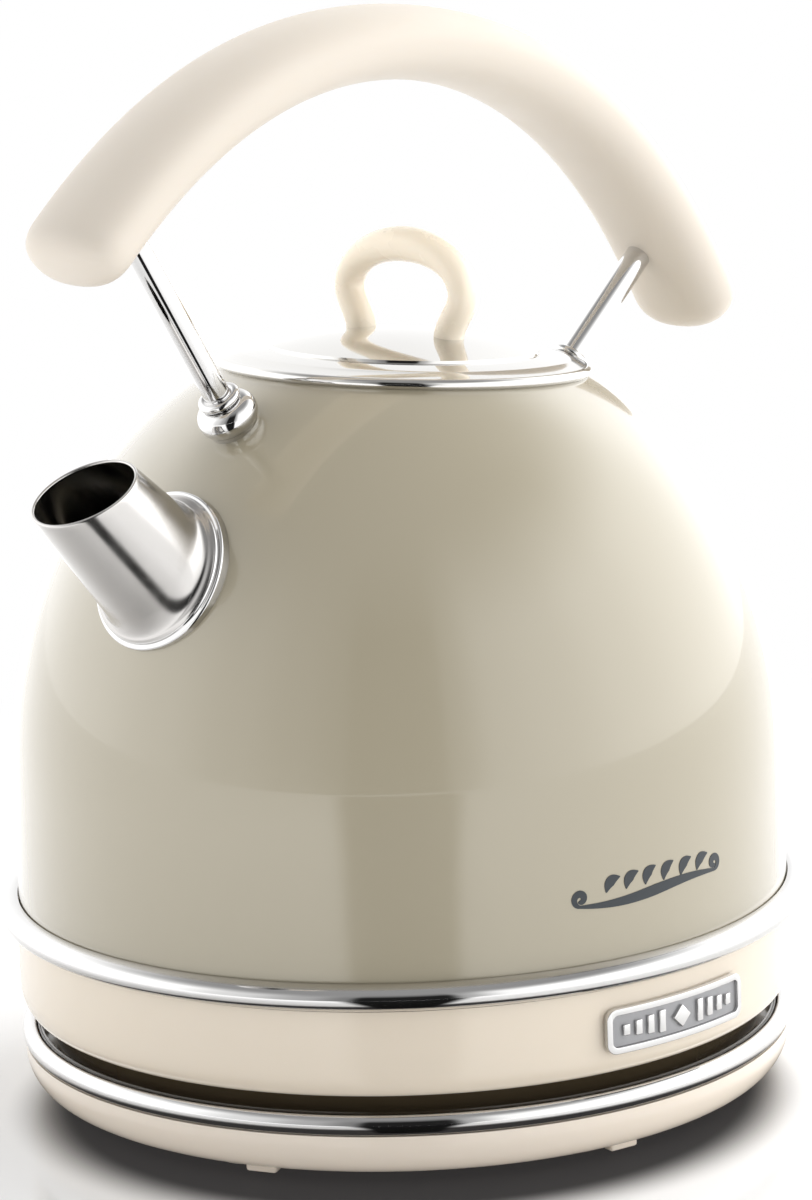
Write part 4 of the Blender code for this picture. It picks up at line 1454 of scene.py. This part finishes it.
@dataclass
class Lid:
    """The polished lid, its inner skirt and its loop knob."""

    radius: float = 44.8 * MM
    rise: float = 10.4 * MM
    step_radius: float = 32.0 * MM
    step_rise: float = 5.5 * MM
    skin: float = 1.2 * MM
    knob_half: float = 18.4 * MM
    knob_leg: float = 14.2 * MM
    knob_waist: float = 19.6 * MM
    knob_crest: float = 30.4 * MM
    knob_thick: Point2 = (3.4 * MM, 0.8 * MM)  # half thickness at the feet, and what the crest adds
    knob_wide: Point2 = (3.9 * MM, 0.5 * MM)   # half width, likewise
    screws: ScrewBin = field(default_factory=ScrewBin)

    @staticmethod
    def place(up: float) -> Matrix:
        """Frame on the lid's axis, at a distance from the crown's centre."""
        lean = spin_of(math.atan2(LID_AXIS.x, LID_AXIS.z), "Y")
        return Matrix.Translation(CROWN_CENTRE) @ lean @ Matrix.Translation((0, 0, up))

    def rim_place(self) -> Matrix:
        """Frame at the lid's centre, at the height of its rim."""
        return self.place(math.sqrt(CROWN_RADIUS ** 2 - self.radius ** 2))

    def cap_height(self, radius: float) -> float:
        """Height of the polished cap over the rim."""
        return self.rise - (self.rise - self.step_rise - 0.5 * MM) * (radius / self.step_radius) ** 2

    def build(self) -> None:
        """Cover, skirt, knob and screws."""
        self.cover()
        skirt = rounded(mm((0, 1.9), (37.6, 1.9), (38.5, 1.0), (38.5, -5), (37.3, -5), (37.3, 0), (36.6, 0.7),
                           (20, 0.7), (19, 0.2), (8, 0.2), (7, 0.7), (0, 0.7)), 0.4 * MM)
        fit(turned("lid_skirt_fine", skirt, self.rim_place()), Body.LID, Slot.STEEL, "steel", "lid_skirt")
        self.knob()
        for i in (1, 2):
            self.screws.put(f"knob_screw_{i}", Body.LID)

    def cover(self) -> None:
        """A shallow cap inside a step line, a flat band and a rolled rim."""
        rs = np.linspace(0, self.step_radius, 24)
        cap = [(float(r), self.cap_height(float(r))) for r in rs]
        edge = cap[-1][1]
        step = rounded([cap[-1], (self.step_radius + 0.15 * MM, edge - 0.75 * MM),
                        (self.step_radius + 0.5 * MM, edge - 0.80 * MM),
                        (self.step_radius + 0.9 * MM, self.step_rise - 0.1 * MM)]
                       + mm((39.5, 4.35), (43.0, 3.1)), 0.5 * MM, count=4)
        rim = arc((43.2 * MM, 1.75 * MM), (1.6 * MM, 1.35 * MM), 88, -70, 16)
        under = rounded(mm((43.6, 0.75), (41.8, 2.1), (39.0, 3.2))
                        + [(self.step_radius, self.cap_height(self.step_radius) - self.skin)], 0.5 * MM)
        inner = [(r, z - self.skin) for r, z in cap[-2::-1]]
        piece = turned("lid_cover_fine", cap + step[1:] + rim + under + inner, self.rim_place(), angle=30)
        fit(piece, Body.LID, Slot.CHROME, "mirror", "lid_cover")

    def knob_line(self) -> list[Point2]:
        """The loop's centre line: two legs that swell outwards into a flat arch.

        Returns:
            Its (across, up) points, from one foot to the other.
        """
        half, leg = self.knob_half, self.knob_leg
        foot = self.cap_height(leg) - 0.4 * MM
        side = []
        for share in np.linspace(0, 1, 12)[:-1]:
            swell = 0.5 - 0.5 * math.cos(math.pi * share)
            side.append((leg + (half - leg) * swell, foot + (self.knob_waist - foot) * share))
        loop = arc((0, self.knob_waist), (half, self.knob_crest - self.knob_waist), 0, 180, 41)
        return side + loop + [(-y, z) for y, z in side[::-1]]

    def knob(self) -> None:
        """A round-edged loop across the handle's plane."""
        line = np.array(self.knob_line())
        along = np.concatenate([[0], np.cumsum(np.hypot(*np.diff(line, axis=0).T))])
        total = along[-1]
        stations = np.linspace(0, total, 120)
        outline = [(0, 0)] + [(1.0, -float(s)) for s in stations] + [(0, -total)]
        piece = turned("lid_knob_fine", outline, Matrix.Identity(4), sides=SMALL, angle=60)
        place = self.rim_place()

        def bend(co: Vector) -> Vector:
            """Where a point of the straight bar goes on the loop.

            Args:
                co: the point on the straight bar.

            Returns:
                Its place.
            """
            s = min(max(-co.z, 0.0), total)
            y, z = (float(np.interp(s, along, line[:, k])) for k in (0, 1))
            ahead, behind = min(s + 0.5 * MM, total), max(s - 0.5 * MM, 0.0)
            dy, dz = (float(np.interp(ahead, along, line[:, k]) - np.interp(behind, along, line[:, k]))
                      for k in (0, 1))
            tangent = Vector((0, dy, dz)).normalized()
            normal = Vector((0, tangent.z, -tangent.y))
            crest = math.sin(math.pi * s / total)
            swell = self.knob_thick[0] + self.knob_thick[1] * crest ** 4
            flank = self.knob_wide[0] + self.knob_wide[1] * crest ** 4
            return place @ (Vector((0, y, z)) + normal * co.x * swell + Vector((co.y * flank, 0, 0)))

        reshape(piece, bend, 60)
        fit(piece, Body.LID, Slot.KNOB, "knob", "lid_knob")


# Studio ------------------------------------------------------------------------------
@dataclass
class Studio:
    """Floor, soft lights and the camera."""

    camera_at: tuple[float, float, float] = (-0.8560, -0.8093, 0.3723)
    aim: tuple[float, float, float] = (-0.0021, -0.0022, 0.1167)
    roll: float = math.radians(-1.89)
    lens: float = 150.85
    flag_start: float = 97 * MM
    flag_half: float = 9 * MM
    flag_spread: float = 0.34
    flag_reach: float = 5.0
    flag_edge: Point2 = (0.75, 1.15)           # shares of the half width, over which it fades
    floor_glow: float = 1.55                   # how bright the white floor is to all but the camera
    fade_radii: Point2 = (0.12, 0.42)
    # painted contact shadow on the floor: where it sits, how far it reaches, how dark it is and its colour
    shade_at: float = 20 * MM
    shade_radii: Point2 = (80 * MM, 98 * MM)
    shade_depth: float = 0.97
    shade_grows: float = 0.11                  # how much wider the shade is in reflections
    painted_shadow_colour: Colour = (0.030, 0.028, 0.028)
    full: float = 3.2
    ceiling: float = 0.40
    ceiling_from: Point2 = (0.50, 0.90)        # shares of straight up
    overhead: float = 8.0
    lamp_at: tuple[float, float, float] = (0.55, 0.45, 1.25)     # aside, behind and up
    lamp_size: Point2 = (0.9, 0.6)
    room: tuple[Point2, ...] = (               # direction from the camera's, and brightness there
        (-180, 1.2), (-130, 1.9), (-100, 2.05), (-75, 1.70), (-50, 1.05), (-30, 0.60), (-17, 0.30),
        (-13, 0.02), (12, 0.02), (17, 0.6), (30, 1.5), (50, 1.80), (75, 2.4), (100, 2.7), (135, 2.4),
        (180, 1.2))

    def build(self) -> None:
        """Set up everything that isn't the kettle."""
        self.floor()
        self.world()
        self.lights()
        self.flag()
        self.camera()

    def floor(self) -> None:
        """A plain pale floor with a faint sheen, and a painted contact shadow close under the kettle."""
        deselect()
        bpy.ops.mesh.primitive_plane_add(size=12)
        piece = bpy.context.object
        piece.name = "floor"
        SHOP.stock["floor"] = Finish("white_floor", (0.92, 0.92, 0.92), (0.93, 0.93, 0.93), (0.12, 0.16),
                                     specular=0.3, grain_depth=0.0).build()
        SHOP.coat(piece, "floor")
        self._fade(SHOP.stock["floor"])

    def _toward(self) -> Vector:
        """Level direction from the middle of the scene to the camera."""
        return Vector(self.camera_at).to_2d().normalized()

    def _fade(self, material: bpy.types.Material) -> None:
        """Let the floor run out into plain white, and paint a dark contact shadow on it close under the
        kettle, which the camera and reflections see but diffuse light does not.

        Args:
            material: the floor's finish.
        """
        tree = material.node_tree
        place = add_node(tree, "TexCoord").outputs["Object"]
        path = add_node(tree, "LightPath")

        def by_ray(kind: str, change: float, start: float) -> bpy.types.NodeSocket:
            """A value that changes for one kind of ray.

            Args:
                kind: the ray's name among the outputs.
                change: what is added for such a ray.
                start: the value for the others.

            Returns:
                The value.
            """
            return math_node(tree, "MULTIPLY_ADD", path.outputs[kind], change, start)

        length = add_node(tree, "VectorMath", {0: place}, operation="LENGTH").outputs["Value"]
        white = add_node(tree, "Emission", {
            "Strength": by_ray("Is Camera Ray", 1.0 - self.floor_glow, self.floor_glow)})
        mix = add_node(tree, "MixShader", {
            "Fac": soft_step(tree, length, *self.fade_radii),
            1: tree.nodes["Principled BSDF"].outputs["BSDF"], 2: white.outputs["Emission"]})
        # Painted contact shadow: a dark glowing disc round a point a little toward the camera, wider in
        # reflections and hidden from diffuse light.
        spot = self._toward() * self.shade_at
        under = add_node(tree, "VectorMath", {0: place, 1: (AXIS_X + spot.x, spot.y, 0)},
                         operation="DISTANCE").outputs["Value"]
        reach = math_node(tree, "MULTIPLY", under, by_ray("Is Glossy Ray", -self.shade_grows, 1.0))
        near = soft_step(tree, reach, *self.shade_radii, start=self.shade_depth, end=0.0)
        shade = add_node(tree, "Emission", {"Color": (*self.painted_shadow_colour, 1)})
        contact = add_node(tree, "MixShader", {
            "Fac": math_node(tree, "MULTIPLY", near, by_ray("Is Diffuse Ray", -1.0, 1.0)),
            1: mix.outputs["Shader"], 2: shade.outputs["Emission"]})
        feed(tree.nodes["Material Output"], {"Surface": contact.outputs["Shader"]})

    def world(self) -> None:
        """A white room: bright at the sides and behind, dark where the camera stands."""
        world = bpy.data.worlds.new("studio")
        bpy.context.scene.world = world
        world.use_nodes = True
        tree = world.node_tree
        toward = self._toward()
        place = add_node(tree, "TexCoord").outputs["Generated"]

        def share_along(*axis: float) -> bpy.types.NodeSocket:
            """How far the direction points along an axis.

            Args:
                axis: the axis, of length one.

            Returns:
                The share.
            """
            return add_node(tree, "VectorMath", {0: place, 1: axis}, operation="DOT_PRODUCT").outputs["Value"]

        angle = math_node(tree, "ARCTAN2", share_along(-toward.y, toward.x, 0),
                         share_along(toward.x, toward.y, 0))
        bearing = math_node(tree, "MULTIPLY_ADD", angle, 0.5 / math.pi, 0.5)
        around = add_node(tree, "ValToRGB", {"Fac": bearing})
        self._ramp(around, [((at + 180) / 360, level) for at, level in self.room])
        room = add_node(tree, "Mix", data_type="RGBA")
        feed(room, {"Factor": soft_step(tree, share_along(0, 0, 1), *self.ceiling_from),
                    "A": around.outputs["Color"], "B": (*(self.ceiling / self.full,) * 3, 1)})
        background = tree.nodes["Background"]
        feed(background, {"Color": room.outputs["Result"], "Strength": self.full})
        seen = add_node(tree, "Background", {"Color": (1, 1, 1, 1)})
        mix = add_node(tree, "MixShader", {
            "Fac": add_node(tree, "LightPath").outputs["Is Camera Ray"],
            1: background.outputs["Background"], 2: seen.outputs["Background"]})
        feed(tree.nodes["World Output"], {"Surface": mix.outputs["Shader"]})

    def _ramp(self, node: bpy.types.Node, stops: Sequence[Point2]) -> None:
        """Give a ramp its stops, as shares of the room's full brightness.

        Args:
            node: the ramp.
            stops: (place on the ramp, brightness) of each stop.
        """
        ramp = node.color_ramp
        ramp.interpolation = "EASE"
        while len(ramp.elements) < len(stops):
            ramp.elements.new(0.5)
        for element, (at, level) in zip(ramp.elements, sorted(stops)):
            element.position = at
            element.color = (*(level / self.full,) * 3, 1)

    def lights(self) -> None:
        """A large soft light high up behind the kettle."""
        light = bpy.data.lights.new("rear_softbox", "AREA")
        light.shape = "RECTANGLE"
        light.size, light.size_y = self.lamp_size
        light.energy = self.overhead
        lamp = bpy.data.objects.new("rear_softbox", light)
        toward = self._toward()
        aside, behind, height = self.lamp_at
        spot = Vector((-toward.y, toward.x)) * aside - toward * behind
        lamp.location = (spot.x, spot.y, height)
        lamp.rotation_euler = (Vector((0, 0, 0.1)) - lamp.location).to_track_quat("-Z", "Y").to_euler()
        lamp.visible_glossy = False
        bpy.context.scene.collection.objects.link(lamp)

    def flag(self) -> None:
        """A dark soft-edged wedge on the floor in front, which only reflections show."""
        toward = self._toward()
        turn = math.atan2(toward.y, toward.x)
        deselect()
        bpy.ops.mesh.primitive_plane_add(size=1)
        card = bpy.context.object
        card.name = "flag"
        bpy.ops.transform.resize(value=(self.flag_reach, 2 * self.flag_reach, 1))
        bpy.ops.transform.translate(value=(self.flag_reach / 2 + self.flag_start, 0, 1 * MM))
        bpy.ops.object.transform_apply(location=True, scale=True)
        card.rotation_euler = (0, 0, turn)
        card.location = (AXIS_X, 0, 0)
        card.data.materials.append(self._flag_cloth())
        card.visible_camera = card.visible_diffuse = card.visible_shadow = False

    def _flag_cloth(self) -> bpy.types.Material:
        """Black in the middle of the wedge, clear outside it and from below.

        Returns:
            The material.
        """
        material = bpy.data.materials.new("flag_cloth")
        material.use_nodes = True
        tree = material.node_tree
        axes = add_node(tree, "SeparateXYZ", {"Vector": add_node(tree, "TexCoord").outputs["Object"]})
        half = math_node(tree, "MULTIPLY_ADD", axes.outputs["X"], self.flag_spread,
                        self.flag_half - self.flag_spread * self.flag_start)
        share = math_node(tree, "DIVIDE", math_node(tree, "ABSOLUTE", axes.outputs["Y"]), half)
        cloth = soft_step(tree, share, *self.flag_edge, start=1.0, end=0.0)
        below = add_node(tree, "NewGeometry").outputs["Backfacing"]
        front = add_node(tree, "Math", {0: cloth, 1: below}, operation="SUBTRACT", use_clamp=True)
        feed(tree.nodes["Principled BSDF"], {
            "Base Color": (0.01, 0.01, 0.01, 1), "Roughness": 0.9, "Specular IOR Level": 0.0,
            "Alpha": front.outputs[0]})
        return material

    def camera(self) -> None:
        """The camera, a little over a metre away with a long lens."""
        data = bpy.data.cameras.new("camera")
        data.lens = self.lens
        data.sensor_width = 36.0
        data.clip_start, data.clip_end = 0.05, 50.0
        camera = bpy.data.objects.new("camera", data)
        forward = (Vector(self.aim) - Vector(self.camera_at)).normalized()
        flat = forward.cross(Vector((0, 0, 1))).normalized()
        level = flat.cross(forward)
        right = flat * math.cos(self.roll) + level * math.sin(self.roll)
        up = right.cross(forward)
        turn = Matrix((right, up, -forward)).transposed().to_4x4()
        camera.matrix_world = Matrix.Translation(self.camera_at) @ turn
        bpy.context.scene.collection.objects.link(camera)
        bpy.context.scene.camera = camera
        bpy.context.scene.view_settings.view_transform = "Standard"


def main() -> None:
    """Build the studio and every sub-assembly, in order."""
    logging.basicConfig(level=logging.INFO, format="%(name)s: %(message)s")
    Studio().build()
    for assembly in (PowerBase(), KettleShell(), Workings(), Switch(), Badge(), Flourish(), Spout(),
                     Handle(), Lid()):
        assembly.build()
        LOG.info("%s done", type(assembly).__name__)
    deselect()


if __name__ == "__main__":
    main()
